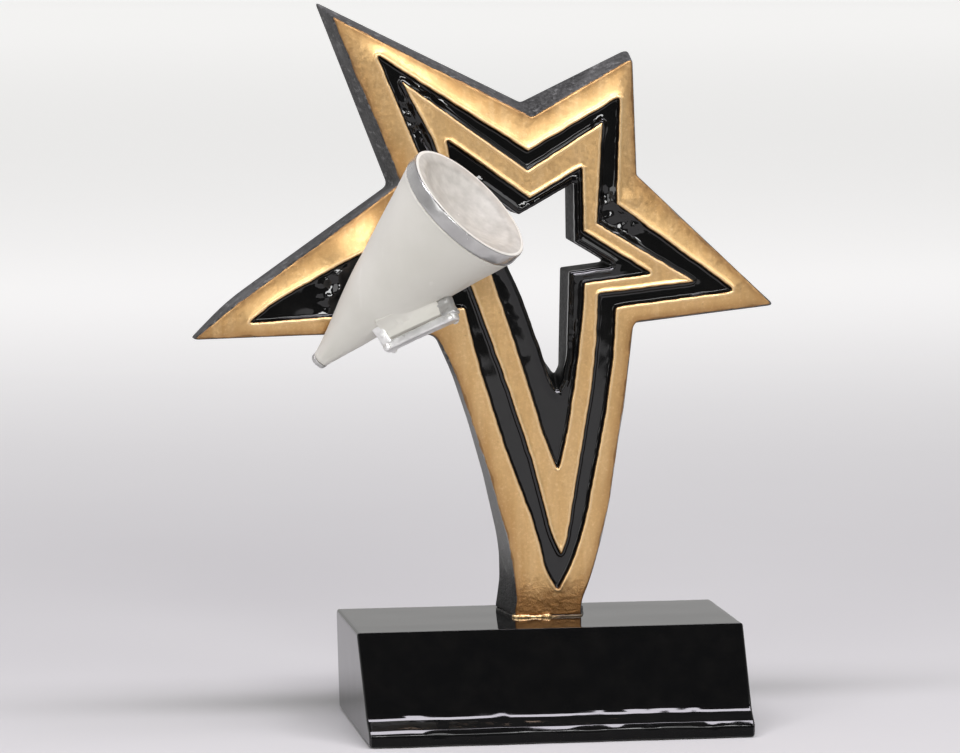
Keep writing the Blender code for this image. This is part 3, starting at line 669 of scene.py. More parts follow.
# ------------------------------------------------------------------ cone frame
axis = (MOUTH - TIP).normalized()
LENGTH = (MOUTH - TIP).length
rear = (Vector((0, 1, 0)) - axis * axis.y).normalized()
across = axis.cross(rear)
CONE = Matrix((rear, across, axis)).transposed()


def cone_r(s):
    return TIP_R + (BELL_R - TIP_R) * s / (LENGTH - BAND_W)


# ------------------------------------------------------------------ star outlines
A_keys, AB_keys = prepared(FRAME_FRONT, 0.4), prepared(FRAME_BACK, 0.6)
BACK_R = 1.5
back_steps = [0, 0.10, 0.30, 0.6, 0.85, 1.0]
A, A_back = sampled(A_keys, AB_keys)
A_insets = [sampled(A_keys, inset_keys(AB_keys, BACK_R * (1 - math.cos(math.pi / 2 * k)) if k < 1 else BACK_R))[1]
            for k in (0.0, 0.25, 0.5, 0.75, 1.0)]
A_flat = sampled(A_keys, inset_keys(AB_keys, BACK_R + 0.6))[1]
B = wobbled(sampled(prepared(CHANNEL_OUT))[0], 0.13, 0.33, 3.0)
C = kept_in(wobbled(sampled(prepared(CHANNEL_IN))[0], 0.11, 0.36, 11.0), B, 0.35)
D = kept_in(wobbled(sampled(prepared(LINING_OUT))[0], 0.11, 0.36, 19.0), C, 0.5)
E_keys = prepared(OPENING, 0.5)
sink = [max(0.0, min(1.0, (85.0 - z) / 8.0)) for _, z, _ in E_keys]
E_back_keys = [(x + 1.3 * w, z + 2.5 * w, r) for (x, z, r), w in zip(E_keys, sink)]
E, E_back = sampled(E_keys, inset_keys([(x, z, r) for x, z, r in E_back_keys], 0.12), step=0.5)
E = wobbled(E, 0.10, 0.4, 27.0)
F, F_back = E + normals2(E) * 0.2, E_back + normals2(E_back) * 0.2

# ------------------------------------------------------------------ relief of the front, mm proud of the front plane
ROWS_GOLD = [0.03, 0.10, 0.22, 0.36, 0.52, 0.72, 1.0, 1.4, 1.9, 2.6, 3.4]
ROWS_BLACK = [0.07, 0.16, 0.27, 0.38, 0.48, 0.58, 0.68, 0.80, 0.95, 1.2, 1.6]


def wave(p, seed, s1=0.16, a1=0.06, s2=0.7, a2=0.018):
    return np.array([a1 * noise.noise(Vector((q[0] * s1, seed, q[1] * s1))) +
                     a2 * noise.noise(Vector((q[0] * s2, seed + 5, q[1] * s2))) for q in p])


def seat(p, h):
    """Sinks the relief where the cone beds in, with a low ridge of paint squeezed up beside it."""
    h = h.copy()
    o, a = np.array(TIP), np.array(axis)

    def gap(hh):
        q = np.stack((p[:, 0], STAR_FRONT - hh, p[:, 1]), 1) - o
        s = q @ a
        rad = np.linalg.norm(q - s[:, None] * a, axis=1)
        r = TIP_R + (BELL_R - TIP_R) * np.clip(s, 0, LENGTH - BAND_W) / (LENGTH - BAND_W)
        out = rad - r
        past = np.maximum(0, np.maximum(-s, s - LENGTH))
        return np.sqrt(np.maximum(out, 0) ** 2 + past ** 2) * (out > 0) + np.where(out > 0, 0, np.where(past > 0, past, out))
    g0 = gap(h)
    lift = 0.28 * bell(g0 - 0.35, 0.35) * (g0 > 0)
    h += lift * (0.6 + 0.8 * np.array([noise.noise(Vector((q[0] * .9, 41, q[1] * .9))) for q in p]))
    for _ in range(60):
        bad = gap(h) < 0.18
        if not bad.any():
            break
        h[bad] -= 0.04
    return np.maximum(h, -2.6)


def beside_cone(p, h):
    """Distance from the relief to the megaphone's skin."""
    q = np.stack((p[:, 0], STAR_FRONT - h, p[:, 1]), 1) - np.array(TIP)
    s = q @ np.array(axis)
    rad = np.linalg.norm(q - s[:, None] * np.array(axis), axis=1)
    r = TIP_R + (BELL_R - TIP_R) * np.clip(s, 0, LENGTH - BAND_W) / (LENGTH - BAND_W)
    return np.hypot(np.maximum(rad - r, 0), np.maximum(0, np.maximum(-s, s - LENGTH)))


HUMPS = ((-41.0, 110.8, 5.0, 2.7, 35.6, 0.20), (20.6, 119.8, 1.8, 1.6, 0.0, 0.22))     # x, z, reach along and across, turn, height


def h_frame(p):
    da, db = dist(p, A), dist(p, B)
    t = da / (da + db + 1e-9)
    up = 0.55 + 0.45 * sstep(p[:, 1], 82, 104)
    h = -0.28 * up + 0.60 * up * t ** 1.7 + 0.13 * bell(db - 0.55, 0.34)
    h += -0.50 * quarter(da, 0.55) - 0.42 * quarter(db, 0.42) + wave(p, 1.0)
    foot = sstep(p[:, 1], 33, 26)
    h += foot * wave(p, 9.0, 0.5, 0.10, 1.3, 0.07)
    for x, z, lx, lz, deg, k in HUMPS:
        c, n = math.cos(math.radians(deg)), math.sin(math.radians(deg))
        u, v = (p[:, 0] - x) * c + (p[:, 1] - z) * n, -(p[:, 0] - x) * n + (p[:, 1] - z) * c
        h += k * np.exp(-(u / lx) ** 2 - (v / lz) ** 2)
    c, n = math.cos(math.radians(35.6)), math.sin(math.radians(35.6))
    u, v = (p[:, 0] + 41.0) * c + (p[:, 1] - 110.0) * n, -(p[:, 0] + 41.0) * n + (p[:, 1] - 110.0) * c
    h += 0.75 * t * np.exp(-(u / 7.0) ** 4) * (np.abs(v) < 9) * (p[:, 1] > 100)
    return seat(p, h), da, db


def h_rib(p):
    dc, dd = dist(p, C), dist(p, D)
    h = -0.12 + 0.17 * bell(dc - 0.5, 0.32) + 0.17 * bell(dd - 0.5, 0.32)
    h += -0.38 * quarter(dc, 0.38) - 0.38 * quarter(dd, 0.38) + wave(p, 2.0)
    return seat(p, h), dc, dd


POOLS = ((-28.6, 139.5, 6.5), (-45.5, 99.0, 5.5), (17.0, 118, 4.0), (20.5, 113.5, 3.5))


def pooled(p):
    """Where the black paint was laid on unevenly."""
    k = np.zeros(len(p))
    for x, z, r in POOLS:
        k = np.maximum(k, bell(np.hypot(p[:, 0] - x, p[:, 1] - z), r))
    return k


def banked(p):
    """Where the paint ran up against the rib and set as a steep bank."""
    k = np.zeros(len(p))
    for x, z, r in ((16.6, 116.8, 5.0), (20.5, 112.4, 4.0), (-27.5, 138.5, 6.5), (-46.0, 98.4, 6.0), (15.5, 139.0, 2.6)):
        k = np.maximum(k, bell(np.hypot(p[:, 0] - x, p[:, 1] - z), r))
    return k


def h_channel(p):
    db, dc = dist(p, B), dist(p, C)
    m1 = np.clip(1 - db / 0.62, 0, 1) ** 2
    m2 = np.clip(1 - dc / 0.34, 0, 1) ** 2
    h = -1.36 + 0.60 * m1 + 0.42 * sstep(dc, 0.88, 0.52) + 0.22 * m2
    h = np.minimum(h, -0.66)
    bank = banked(p)
    ramp = -1.36 + 1.08 * np.clip((1.45 - dc) / 1.25, 0, 1) ** 1.15
    h = np.where(bank > 0.02, h + (np.maximum(ramp, h) - h) * np.clip(bank * 1.6, 0, 1), h)
    corner = bell(np.hypot(p[:, 0] - 18.0, p[:, 1] - 118.0), 4.2)
    ramp_b = -1.36 + 0.95 * np.clip((1.9 - db) / 1.6, 0, 1) ** 1.1
    h = np.where(corner > 0.02, h + (np.maximum(ramp_b, h) - h) * np.clip(corner * 1.8, 0, 1), h)
    h += 0.85 * np.exp(-beside_cone(p, h) / 1.5) * (0.7 + 0.9 * wave(p, 8.0, 0.45, 0.9, 1.1, 0.3))
    rough_ = wave(p, 6.0, 0.40, 0.85, 0.9, 0.16)
    h += wave(p, 4.0, 0.22, 0.03, 0.9, 0.008) + pooled(p) * rough_ * sstep(np.minimum(db, dc), 0, 0.6)
    return seat(p, np.minimum(h, -0.12))


def h_lining(p):
    dd, de = dist(p, D), dist(p, E)
    w = dd + de + 1e-9
    u = dd / w
    h = -1.36 + 0.60 * np.clip(1 - dd / 0.6, 0, 1) ** 2 + 0.46 * bell(de - np.minimum(0.48 * w, 1.05), 0.36) + 0.10 * u
    h = np.minimum(h, -0.66) - 0.75 * quarter(de, 0.75)
    h += wave(p, 5.0, 0.22, 0.03, 0.9, 0.012)
    return seat(p, h)


def put(p, h):
    return np.stack((p[:, 0], STAR_FRONT - h, p[:, 1]), 1)


def flare(z):
    return np.interp(z, [23.9, 27, 31, 36, 42], [3.2, 2.3, 1.3, 0.5, 0.0])


# --- the casting: gold front, painted sides and back
def shape_frame(p):
    h, da, db = h_frame(p)
    return put(p, h), {"rim": da, "d_in": db, "across": da / (da + db + 1e-9)}


def shape_rib(p):
    h, dc, dd = h_rib(p)
    return put(p, h), {"rim": 3.0, "d_in": np.minimum(dc, dd), "across": 0.75}


b = Build()
pa, ea = steiner(A, B, ROWS_GOLD, ROWS_GOLD)
pc, ec = steiner(C, D, ROWS_GOLD[:9], ROWS_GOLD[:9])
ia, ib = b.sheet([A, B], pa, shape_frame, [B], edges=ea)
ic, id_ = b.sheet([C, D], pc, shape_rib, [D], edges=ec)
nA, nB, nC, nD, nE = len(A), len(B), len(C), len(D), len(E)
y_front = np.array([b.v[i][1] for i in ia])


def loop_at(bb, loop, y, **at):
    y = np.broadcast_to(np.asarray(y, float), (len(loop),))
    return bb.add(np.stack((loop[:, 0], y, loop[:, 1]), 1), **at)


jb = loop_at(b, B, FLOOR_Y, rim=3.0, d_in=0.0)
jc = loop_at(b, C, FLOOR_Y, rim=3.0, d_in=0.0)
jd = loop_at(b, D, FLOOR_Y, rim=3.0, d_in=0.0)
jf = loop_at(b, F, FLOOR_Y, rim=3.0, d_in=0.0)
b.strip(ib, jb)
b.strip(ic, jc)
b.strip(id_, jd)
b.fill([B, C], np.concatenate((B, C)), np.concatenate((jb, jc)), [C])
b.fill([D, F], np.concatenate((D, F)), np.concatenate((jd, jf)), [F])
# opening wall, hidden by the black liner
kf = loop_at(b, F_back, STAR_BACK - 0.02 + flare(F_back[:, 1]), rim=-12.0, d_in=3.0)
b.strip(jf, kf)
# drafted outer wall with a rounded back edge
prev, y_a = ia, y_front
y_end = STAR_BACK - BACK_R + flare(A_back[:, 1])
rows = 11
nrm = normals2(A)
for k in range(1, rows + 1):
    t = (k / rows)
    p = A + (A_back - A) * t
    y = y_a + (y_end - y_a) * t
    amp = 0.10 * math.sin(math.pi * t)
    bulge = np.array([noise.noise(Vector((q[0] * 0.25, yy * 0.3, q[1] * 0.25))) for q, yy in zip(p, y)])
    p = p + nrm * (amp * bulge)[:, None]
    cur = loop_at(b, p, y, rim=-(y - y_a), d_in=3.0)
    b.strip(prev, cur)
    prev = cur
for k in range(1, 5):
    t = k / 4 * math.pi / 2
    cur = loop_at(b, A_insets[k], STAR_BACK - BACK_R + BACK_R * math.sin(t) + flare(A_insets[k][:, 1]), rim=-12.0, d_in=3.0,
                  edge_back=math.sin(2 * t))
    b.strip(prev, cur)
    prev = cur
cur = loop_at(b, A_flat, STAR_BACK + flare(A_flat[:, 1]), rim=-12.0, d_in=3.0)
b.strip(prev, cur)
lo, hi = A_flat.min(0), A_flat.max(0)
g = np.array([(x + (j % 2) * 1.1, z) for j, z in enumerate(np.arange(lo[1], hi[1], 1.9)) for x in np.arange(lo[0], hi[0], 2.2)])
g = g[inside(g, A_flat) & ~inside(g, F_back)]
g = g[(dist(g, A_flat) > 0.9) & (dist(g, F_back) > 0.9)]
back_wave = np.array([0.16 * noise.noise(Vector((q[0] * 0.09, 50, q[1] * 0.09))) for q in g]) * sstep(dist(g, A_flat), 0, 3)
ig = b.add(np.stack((g[:, 0], STAR_BACK + flare(g[:, 1]) - np.abs(back_wave), g[:, 1]), 1), rim=-12.0, d_in=3.0)
b.fill([A_flat, F_back], np.concatenate((A_flat, F_back, g)), np.concatenate((cur, kf, ig)), [F_back], flip=True)
star = finish_piece(b.object("star_body", [M_STAR], 55), "star_casting")

# --- gloss black in the channel
b = Build()
pb, eb = steiner(B, C, ROWS_BLACK, ROWS_BLACK)
for x0, z0, reach in POOLS:
    # closer points where the pooled paint is uneven
    m = [(x0 + i * 0.34 + 0.08 * nz(i * 7.1, j * 3.3, 1.0, 1.0), z0 + j * 0.34 + 0.08 * nz(i * 5.3, j * 2.7, 4.0, 1.0))
         for i in range(-22, 23) for j in range(-22, 23) if math.hypot(i, j) * 0.34 < reach]
    m = np.array(m)
    m = m[inside(m, B) & ~inside(m, C)]
    m = m[(dist(m, B) > 0.22) & (dist(m, C) > 0.22)]
    m = m[np.array([float(np.min(np.hypot(pb[:, 0] - q[0], pb[:, 1] - q[1]))) > 0.15 for q in m], bool)]
    pb = np.concatenate((pb, m))
ids_b, ids_c = b.sheet([B, C], pb, lambda p: (put(p, h_channel(p)), {}), [C], edges=eb)
low_b, low_c = loop_at(b, B - normals2(B) * 0.05, FLOOR_Y - 0.05), loop_at(b, C + normals2(C) * 0.05, FLOOR_Y - 0.05)
b.strip(ids_b, low_b)
b.strip(ids_c, low_c)
b.fill([B, C], np.concatenate((B, C)), np.concatenate((low_b, low_c)), [C], flip=True)
channel = finish_piece(b.object("channel_gloss", [M_CHANNEL], 60), "channel_enamel")

# --- gloss black lining and the painted wall of the opening
b = Build()
pe, ee = steiner(D, E, ROWS_BLACK, ROWS_BLACK, 1.0)
ids_d, ids_e = b.sheet([D, E], pe, lambda p: (put(p, h_lining(p)), {}), [E], edges=ee)
prev, y_e = ids_e, np.array([b.v[i][1] for i in ids_e])
y_end = STAR_BACK - 0.35 + flare(E_back[:, 1])
ne = normals2(E)
for k in range(1, 13):
    t = k / 12
    p = E + (E_back - E) * t
    y = y_e + (y_end - y_e) * t
    ripple = np.array([noise.noise(Vector((q[0] * 0.3, yy * 0.35, q[1] * 0.3))) for q, yy in zip(p, y)])
    p = p - ne * (0.09 * math.sin(math.pi * t) * ripple)[:, None]
    cur = loop_at(b, p, y)
    b.strip(prev, cur, 1 if k > 1 else 0)
    prev = cur
cur = loop_at(b, E_back + normals2(E_back) * 0.07, y_end + 0.20)
b.strip(prev, cur, 1)
prev = cur
cur = loop_at(b, E_back + normals2(E_back) * 0.15, y_end + 0.24)
b.strip(prev, cur, 1)
prev = cur
low_f = loop_at(b, E + ne * 0.15, FLOOR_Y - 0.05)
b.strip(prev, low_f)
low_d = loop_at(b, D - normals2(D) * 0.05, FLOOR_Y - 0.05)
b.strip(ids_d, low_d)
b.fill([D, E + ne * 0.15], np.concatenate((D, E + ne * 0.15)), np.concatenate((low_d, low_f)), [E + ne * 0.15], flip=True)
lining = finish_piece(b.object("lining_gloss", [M_LINING, M_WALL], 60), "lining_enamel")

# ------------------------------------------------------------------ plinth
def fillet(points, radii, n=6):
    out, m = [], len(points)
    for i in range(m):
        p = np.array(points[i], float)
        a, c = np.array(points[i - 1], float) - p, np.array(points[(i + 1) % m], float) - p
        la, lc = np.linalg.norm(a), np.linalg.norm(c)
        a, c = a / la, c / lc
        half = math.acos(max(-1, min(1, float(a @ c)))) / 2
        d = min(radii[i] / math.tan(half), 0.45 * la, 0.45 * lc)
        for t in np.linspace(0, 1, n + 1):
            out.append((1 - t) ** 2 * (p + a * d) + 2 * t * (1 - t) * p + t ** 2 * (p + c * d))
    return np.array(out)


def spaced(poly, step):
    out = []
    for i in range(len(poly)):
        p, q = poly[i], poly[(i + 1) % len(poly)]
        k = max(1, int(round(np.linalg.norm(q - p) / step)))
        out.extend(p + (q - p) * j / k for j in range(k))
    return np.array(out)


def bent_keys(p0, p1, p2, ts):
    p0, p1, p2 = np.array(p0), np.array(p1), np.array(p2)
    return [((1 - t) ** 2 * p0 + 2 * t * (1 - t) * p1 + t * t * p2).tolist() + [1.2] for t in ts]


# cove at the foot of the sloping front, then the rounded lip
side = [(26, 0.2, 0.5), (26, 23.6, 0.9), (-10, 23.6, 0.08)]
side += bent_keys((-21.47, 7.0), (-22.33, 5.76), (-23.6, 4.9), (0, 0.2, 0.4, 0.6, 0.8, 1))
side += [(-24.75, 4.12, 0.8), (-25.15, 3.84, 0.45), (-25.74, 3.19, 0.35)]
side += bent_keys((-25.74, 3.19), (-26.0, 2.85), (-26.0, 1.9), (0.45, 0.75, 1.0))
side += [(-26, 0.2, 0.45)]
R_END = 0.7
angles = [math.pi / 2 * k / 6 for k in range(6, -1, -1)]
cuts = [R_END * (1 - math.cos(t)) for t in angles]
section = sampled(side, *[inset_keys(side, -c) for c in cuts], inset_keys(side, -R_END - 0.3), step=0.9)
prof = section[0]
e = np.roll(prof, -1, 0) - np.roll(prof, 1, 0)
pn = np.stack((e[:, 1], -e[:, 0]), 1)
pn /= np.linalg.norm(pn, axis=1)[:, None]
b = Build()
loops = []
pos = [(-1, t) for t in angles] + [(0, u) for u in np.linspace(-1, 1, 112)[1:-1]] + [(1, t) for t in angles[::-1]]
for s, val in pos:
    if s:
        q = section[1 + angles.index(val)]
    else:
        q = prof
    width = (BASE_BOT_W + (BASE_TOP_W - BASE_BOT_W) * q[:, 1] / BASE_H) / 2
    if s:
        x = s * (width - R_END + R_END * math.cos(math.pi / 2 - val))
    else:
        x = val * (width - R_END)
    lipz = sstep(q[:, 1], 8.5, 5.5) * sstep(q[:, 0], -19.5, -22)
    dsp = np.array([0.05 * noise.noise(Vector((xx * 0.06, yy * 0.1, zz * 0.1))) +
                    ll * (0.20 * noise.noise(Vector((xx * 0.10, 3.0, zz * 0.12))) +
                          0.07 * noise.noise(Vector((xx * 0.33, 8.0, zz * 0.3))) +
                          0.055 * noise.noise(Vector((xx * 0.16, 12.0, zz * 0.8))))
                    for xx, (yy, zz), ll in zip(x, q, lipz)])
    q = q + pn * dsp[:, None]
    q[:, 1] = np.maximum(q[:, 1], RIM_Z)
    loops.append(b.add(np.stack((x, q[:, 0], q[:, 1]), 1)))
for l1, l2 in zip(loops, loops[1:]):
    b.strip(l1, l2)
for lp, s in ((loops[0], -1), (loops[-1], 1)):
    inn = section[-1]
    width = (BASE_BOT_W + (BASE_TOP_W - BASE_BOT_W) * inn[:, 1] / BASE_H) / 2
    il = b.add(np.stack((s * width, inn[:, 0], inn[:, 1]), 1))
    b.strip(lp, il)
    lo, hi = inn.min(0), inn.max(0)
    g = np.array([(y, z) for z in np.arange(lo[1], hi[1], 2.3) for y in np.arange(lo[0], hi[0], 2.3)])
    g = g[inside(g, inn)]
    g = g[dist(g, inn) > 1.2]
    wg = (BASE_BOT_W + (BASE_TOP_W - BASE_BOT_W) * g[:, 1] / BASE_H) / 2
    gi = b.add(np.stack((s * (wg - 0.03 * np.array([abs(noise.noise(Vector((y * .1, z * .1, s)))) for y, z in g])), g[:, 0], g[:, 1]), 1))
    b.fill([inn], np.concatenate((inn, g)), np.concatenate((il, gi)))
plinth = b.object("plinth_block", [M_LACQUER], 60)


def cutter_box(x, y, z0, z1):
    bm = bmesh.new()
    bmesh.ops.create_cube(bm, size=1.0)
    for v in bm.verts:
        v.co = Vector((v.co.x * x * MM, v.co.y * y * MM, (z0 if v.co.z < 0 else z1) * MM))
    return cutter_mesh(bm)


def cutter_cyl(r, z0, z1, at, n=48):
    bm = bmesh.new()
    bmesh.ops.create_cone(bm, cap_ends=True, segments=n, radius1=r * MM, radius2=r * MM, depth=(z1 - z0) * MM)
    for v in bm.verts:
        v.co += Vector((at[0], at[1], (z0 + z1) / 2)) * MM
    return cutter_mesh(bm)


def cutter_mesh(bm):
    me = bpy.data.meshes.new("cutter")
    bm.to_mesh(me)
    bm.free()
    ob = bpy.data.objects.new("cutter", me)
    SC.collection.objects.link(ob)
    return ob


def carve(ob, tools):
    for t in tools:
        mod = ob.modifiers.new("carve", "BOOLEAN")
        mod.operation, mod.solver, mod.object = "DIFFERENCE", "EXACT", t
    applied(ob)
    for t in tools:
        bpy.data.objects.remove(t, do_unlink=True)
    ob.data.shade_smooth()
    ob.data.set_sharp_from_angle(angle=math.radians(40))


carve(plinth, [cutter_box(BASE_BOT_W - 2 * FELT_INSET, 52 - 2 * FELT_INSET, -2, FELT_RECESS_Z),
               cutter_cyl(7.0, -1, 8.0, (STUD_X, STUD_Y)),
               cutter_cyl(STUD_R + 0.3, 6.0, BASE_H + 3, (STUD_X, STUD_Y), 32),
               cutter_cyl(1.55, 15.6, BASE_H + 3, (STUD_X - 4.6, STUD_Y), 24),
               cutter_cyl(1.55, 15.6, BASE_H + 3, (STUD_X + 4.6, STUD_Y), 24)])
plinth.data.materials.append(M_LIP)
for f in plinth.data.polygons:
    if f.normal.y < -0.93 and f.center.z < 3.2 * MM and f.center.y < -25 * MM:
        f.material_index = 1
finish_piece(plinth, "base_block")


# ------------------------------------------------------------------ megaphone
def bent(s):
    """The slim end droops a little off the axis."""
    k = 0.5 * math.exp(-((s - 3.0) / 9.0) ** 2)
    t = math.radians(262)
    return Vector((math.cos(t) * k, math.sin(t) * k, s))


def turned(name, profile, mat, steps=160, ripple=0.0, seed=0.0, sharp=45, shape=None, into=None, shade_at=None):
    """Closed profile of (radius, along the axis), turned about the megaphone's axis."""
    bb = into or Build()
    rings, n = [], steps
    for r, s in profile:
        if r < 1e-6:
            rings.append(bb.add([TIP + CONE @ bent(s)], crease=0.0))
            continue
        pts = []
        for i in range(n):
            t = 2 * math.pi * i / n
            rr = r + ripple * noise.noise(Vector((math.cos(t) * 2.2, math.sin(t) * 2.2, s * 0.16 + seed)))
            if shape:
                rr += shape(r, s, t)
            pts.append(TIP + CONE @ (bent(s) + Vector((math.cos(t) * rr, math.sin(t) * rr, 0))))
        rings.append(bb.add(pts, crease=shade_at(r, s) if shade_at else 0.0))
    for r1, r2 in zip(rings, rings[1:]):
        if len(r1) == 1 and len(r2) == 1:
            continue
        if len(r1) == 1 or len(r2) == 1:
            o, r = (r1[0], r2) if len(r1) == 1 else (r2[0], r1)
            for i in range(n):
                bb.f.append((o, r[i], r[(i + 1) % n]))
                bb.m.append(0)
        else:
            bb.strip(r1, r2)
    if len(rings[0]) > 1 and len(rings[-1]) > 1:
        bb.strip(rings[-1], rings[0])
    return None if into else bb.object(name, [mat], sharp)


# ------------------------------------------------------------------ handle
def radial(deg):
    t = math.radians(deg)
    return Vector((math.cos(t), math.sin(t), 0))


def over_cone(s, deg, out):
    return radial(deg) * (cone_r(s) + out) + Vector((0, 0, s))


ends = [over_cone(*q) for q in HANDLE_ENDS]
run = (ends[1] - ends[0]).normalized()
strap_out = radial((HANDLE_ENDS[0][1] + HANDLE_ENDS[1][1]) / 2)
strap_out = (strap_out - run * strap_out.dot(run)).normalized()
strap_side = run.cross(strap_out)


def world(v):
    return TIP + CONE @ Vector(v)


def catmull(vals, n):
    """Smooth interpolation of a list of vectors or numbers."""
    v = np.array(vals, float)
    m = len(v)
    out = []
    for k in range(n):
        x = k / (n - 1) * (m - 1)
        i = min(int(x), m - 2)
        t = x - i
        p0, p1, p2, p3 = v[max(i - 1, 0)], v[i], v[i + 1], v[min(i + 2, m - 1)]
        out.append(0.5 * (2 * p1 + (p2 - p0) * t + (2 * p0 - 5 * p1 + 4 * p2 - p3) * t * t + (3 * p1 - p0 - 3 * p2 + p3) * t ** 3))
    return np.array(out)


def swept(name, stations, mat, n=40, around=32, ripple=0.06, seed=0.0, power=2.6, into=None, crease=False, spread=0.0):
    """Closed tube through stations of (centre, side, out, half width, half thickness) in the cone's frame."""
    cen = catmull([list(s[0]) for s in stations], n)
    sd = catmull([list(s[1]) for s in stations], n)
    ot = catmull([list(s[2]) for s in stations], n)
    ha, hb = catmull([s[3] for s in stations], n), catmull([s[4] for s in stations], n)
    bb, rings = into or Build(), []
    for k in range(n):
        end = min(k, n - 1 - k)
        shrink = math.sqrt(max(0.0, 1 - (1 - min(1, end / (2 if crease else 5))) ** 2)) * 0.92 + 0.08
        pts, web_shade = [], []
        for i in range(around):
            t = 2 * math.pi * i / around
            c, s = math.cos(t), math.sin(t)
            x = math.copysign(abs(c) ** (2 / power), c) * ha[k] * shrink
            y = math.copysign(abs(s) ** (2 / power), s) * hb[k] * shrink
            q = cen[k] + sd[k] * x + ot[k] * y
            if spread:
                u = min(1.2, max(0.0, 1 - (y + hb[k] * shrink - 1.6) / 1.1))
                wide = x * (1 + spread * u ** 3 / ha[k])
                q = q + sd[k] * (wide - x) - ot[k] * ((wide * wide - x * x) / (2 * (math.hypot(cen[k][0], cen[k][1]) - hb[k] + 1.6)))
            w = ripple * noise.noise(Vector(q) * 0.9 + Vector((seed, 0, 0)))
            # Painted shade on the web: darker in the crease against the strap, over its upper half and in the pit
            # dented near the rear end.
            pit = math.exp(-((k - 0.86 * n) / 1.0) ** 2 - ((y - 0.45 * hb[k]) / 0.42) ** 2) if crease and x > 0 else 0.0
            q = q - sd[k] * 0.35 * pit
            web_shade.append(max(0.9 * pit, 0.19 * float(sstep(np.array(y / hb[k]), -0.3, 0.3)), float(sstep(np.array(y * shrink), hb[k] - 1.0, hb[k] - 0.45))) if crease else 0.0)
            q = q + (sd[k] * c + ot[k] * s) * w * shrink
            pts.append(world(q))
        rings.append(bb.add(pts, crease=web_shade))
    for r1, r2 in zip(rings, rings[1:]):
        bb.strip(r1, r2)
    for r, k in ((rings[0], 0), (rings[-1], n - 1)):
        o = bb.add([world(cen[k])])[0]
        for i in range(around):
            bb.f.append((o, r[i], r[(i + 1) % around]))
            bb.m.append(0)
    return None if into else bb.object(name, [mat], 70)


# ------------------------------------------------------------------ cone with the wall under the strap, band, mouth, tip
def slim_r(s):
    return float(np.interp(s, [-1.2, 1, 5, 12, 20, 34, 48.83], [1.72, 2.12, 3.28, 5.45, 8.0, 11.75, 15.88]))


e0, e1 = ends
s0, s1 = 0.15, LENGTH - BAND_W - 0.05
shell = Build()
L = LENGTH
cone_prof = [(0, L - 5.6), (4.0, L - 5.4), (8.2, L - 4.75), (11.5, L - 4.1), (14.2, s1 - 0.02), (BELL_R - 0.55, s1), (BELL_R - 0.2, s1 - 0.1),
             (BELL_R - 0.06, s1 - 0.35)]
for s in np.linspace(s1 - 0.9, s0 + 0.35, 66):
    cone_prof.append((slim_r(s), s))
cone_prof += [(slim_r(s0) - 0.06, s0 + 0.08), (slim_r(s0) - 0.25, s0), (0, s0)]
turned("cone_shell", cone_prof, M_WHITE, 192, 0.10, 1.0, into=shell)
web = []
for t in np.linspace(0, 1, 9):
    s = HANDLE_FEET[0][0] + 0.9 + (HANDLE_FEET[1][0] - HANDLE_FEET[0][0] - 1.8) * t
    deg = HANDLE_FEET[0][1] + (HANDLE_FEET[1][1] - HANDLE_FEET[0][1]) * t
    lo_ = radial(deg) * (slim_r(s) - 1.6) + Vector((0, 0, s))
    hi_ = e0.lerp(e1, t) - strap_out * 1.25
    web.append(((lo_ + hi_) / 2, strap_side, (hi_ - lo_).normalized(), WEB_W / 2, (hi_ - lo_).length / 2))
swept("web", web, M_WHITE, 40, 84, 0.07, 12.0, 5.0, into=shell, crease=True, spread=1.5)
cone = finish_piece(shell.object("cone_shell", [M_WHITE], 45), "megaphone_cone")

band_prof = [(15.0, L - 0.48), (15.6, L - 0.40), (15.84, L - 0.30), (15.96, L - 0.20), (16.04, L - 0.26), (16.09, L - 0.5), (16.1, L - 1.6),
             (16.12, L - 2.5), (16.08, L - 3.0), (15.98, L - 3.32), (15.78, L - 3.46), (15.0, L - 3.4)]


def band_shape(r, s, t):
    # the painted step towards the cone isn't cut straight
    if r > 15.6 and s < L - 2.4:
        return 0.12 * noise.noise(Vector((math.cos(t) * 5, math.sin(t) * 5, 3.0)))
    return 0.0


band = finish_piece(turned("rim_band", band_prof, M_BAND, 192, 0.05, 4.0, 50, band_shape), "megaphone_rim_band")
dish_keys = ((0, -3.95), (2, -3.85), (4, -3.6), (6, -3.2), (8, -2.65), (10, -1.9), (11.2, -1.32), (12.0, -0.90), (12.6, -0.60),
             (13.1, -0.39), (13.7, -0.22), (14.4, -0.11), (15.1, -0.02), (15.5, 0.03))
dish_curve = catmull([list(k) for k in dish_keys], 60)
dish = [(0.0, L - 3.95)] + [(float(r), L + float(z)) for r, z in dish_curve[1:]]
dish += [(15.72, L + 0.03), (15.86, L - 0.01), (15.93, L - 0.09), (15.86, L - 0.17), (15.3, L - 0.30), (14.9, L - 0.4),
         (14.9, L - 1.5), (13.9, L - 2.2), (9.0, L - 4.2), (4.0, L - 4.8), (0.0, L - 4.9)]
# Painted shade over the mouth's whole dish, darker still in a ring near 12.6 mm radius.
disc = finish_piece(turned("mouth_disc", dish, M_WHITE, 192, 0.06, 7.0, 60,
                           shade_at=lambda r, s: 0.66 + 0.10 * math.exp(-((r - 12.6) / 0.5) ** 2) if s > L - 4.1 and r < 15.2 else 0.0), "megaphone_mouth_disc")
ring_prof = [(0.0, 0.08), (1.0, 0.08), (1.86, 0.10), (2.02, -0.04), (2.0, -0.35), (1.88, -0.72), (1.66, -0.98), (1.35, -1.08),
             (1.05, -1.02), (0.85, -0.8), (0.0, -0.7)]
ring = finish_piece(turned("mouthpiece_ring", ring_prof, M_TIP, 72, 0.14, 9.0, 50), "megaphone_mouthpiece")


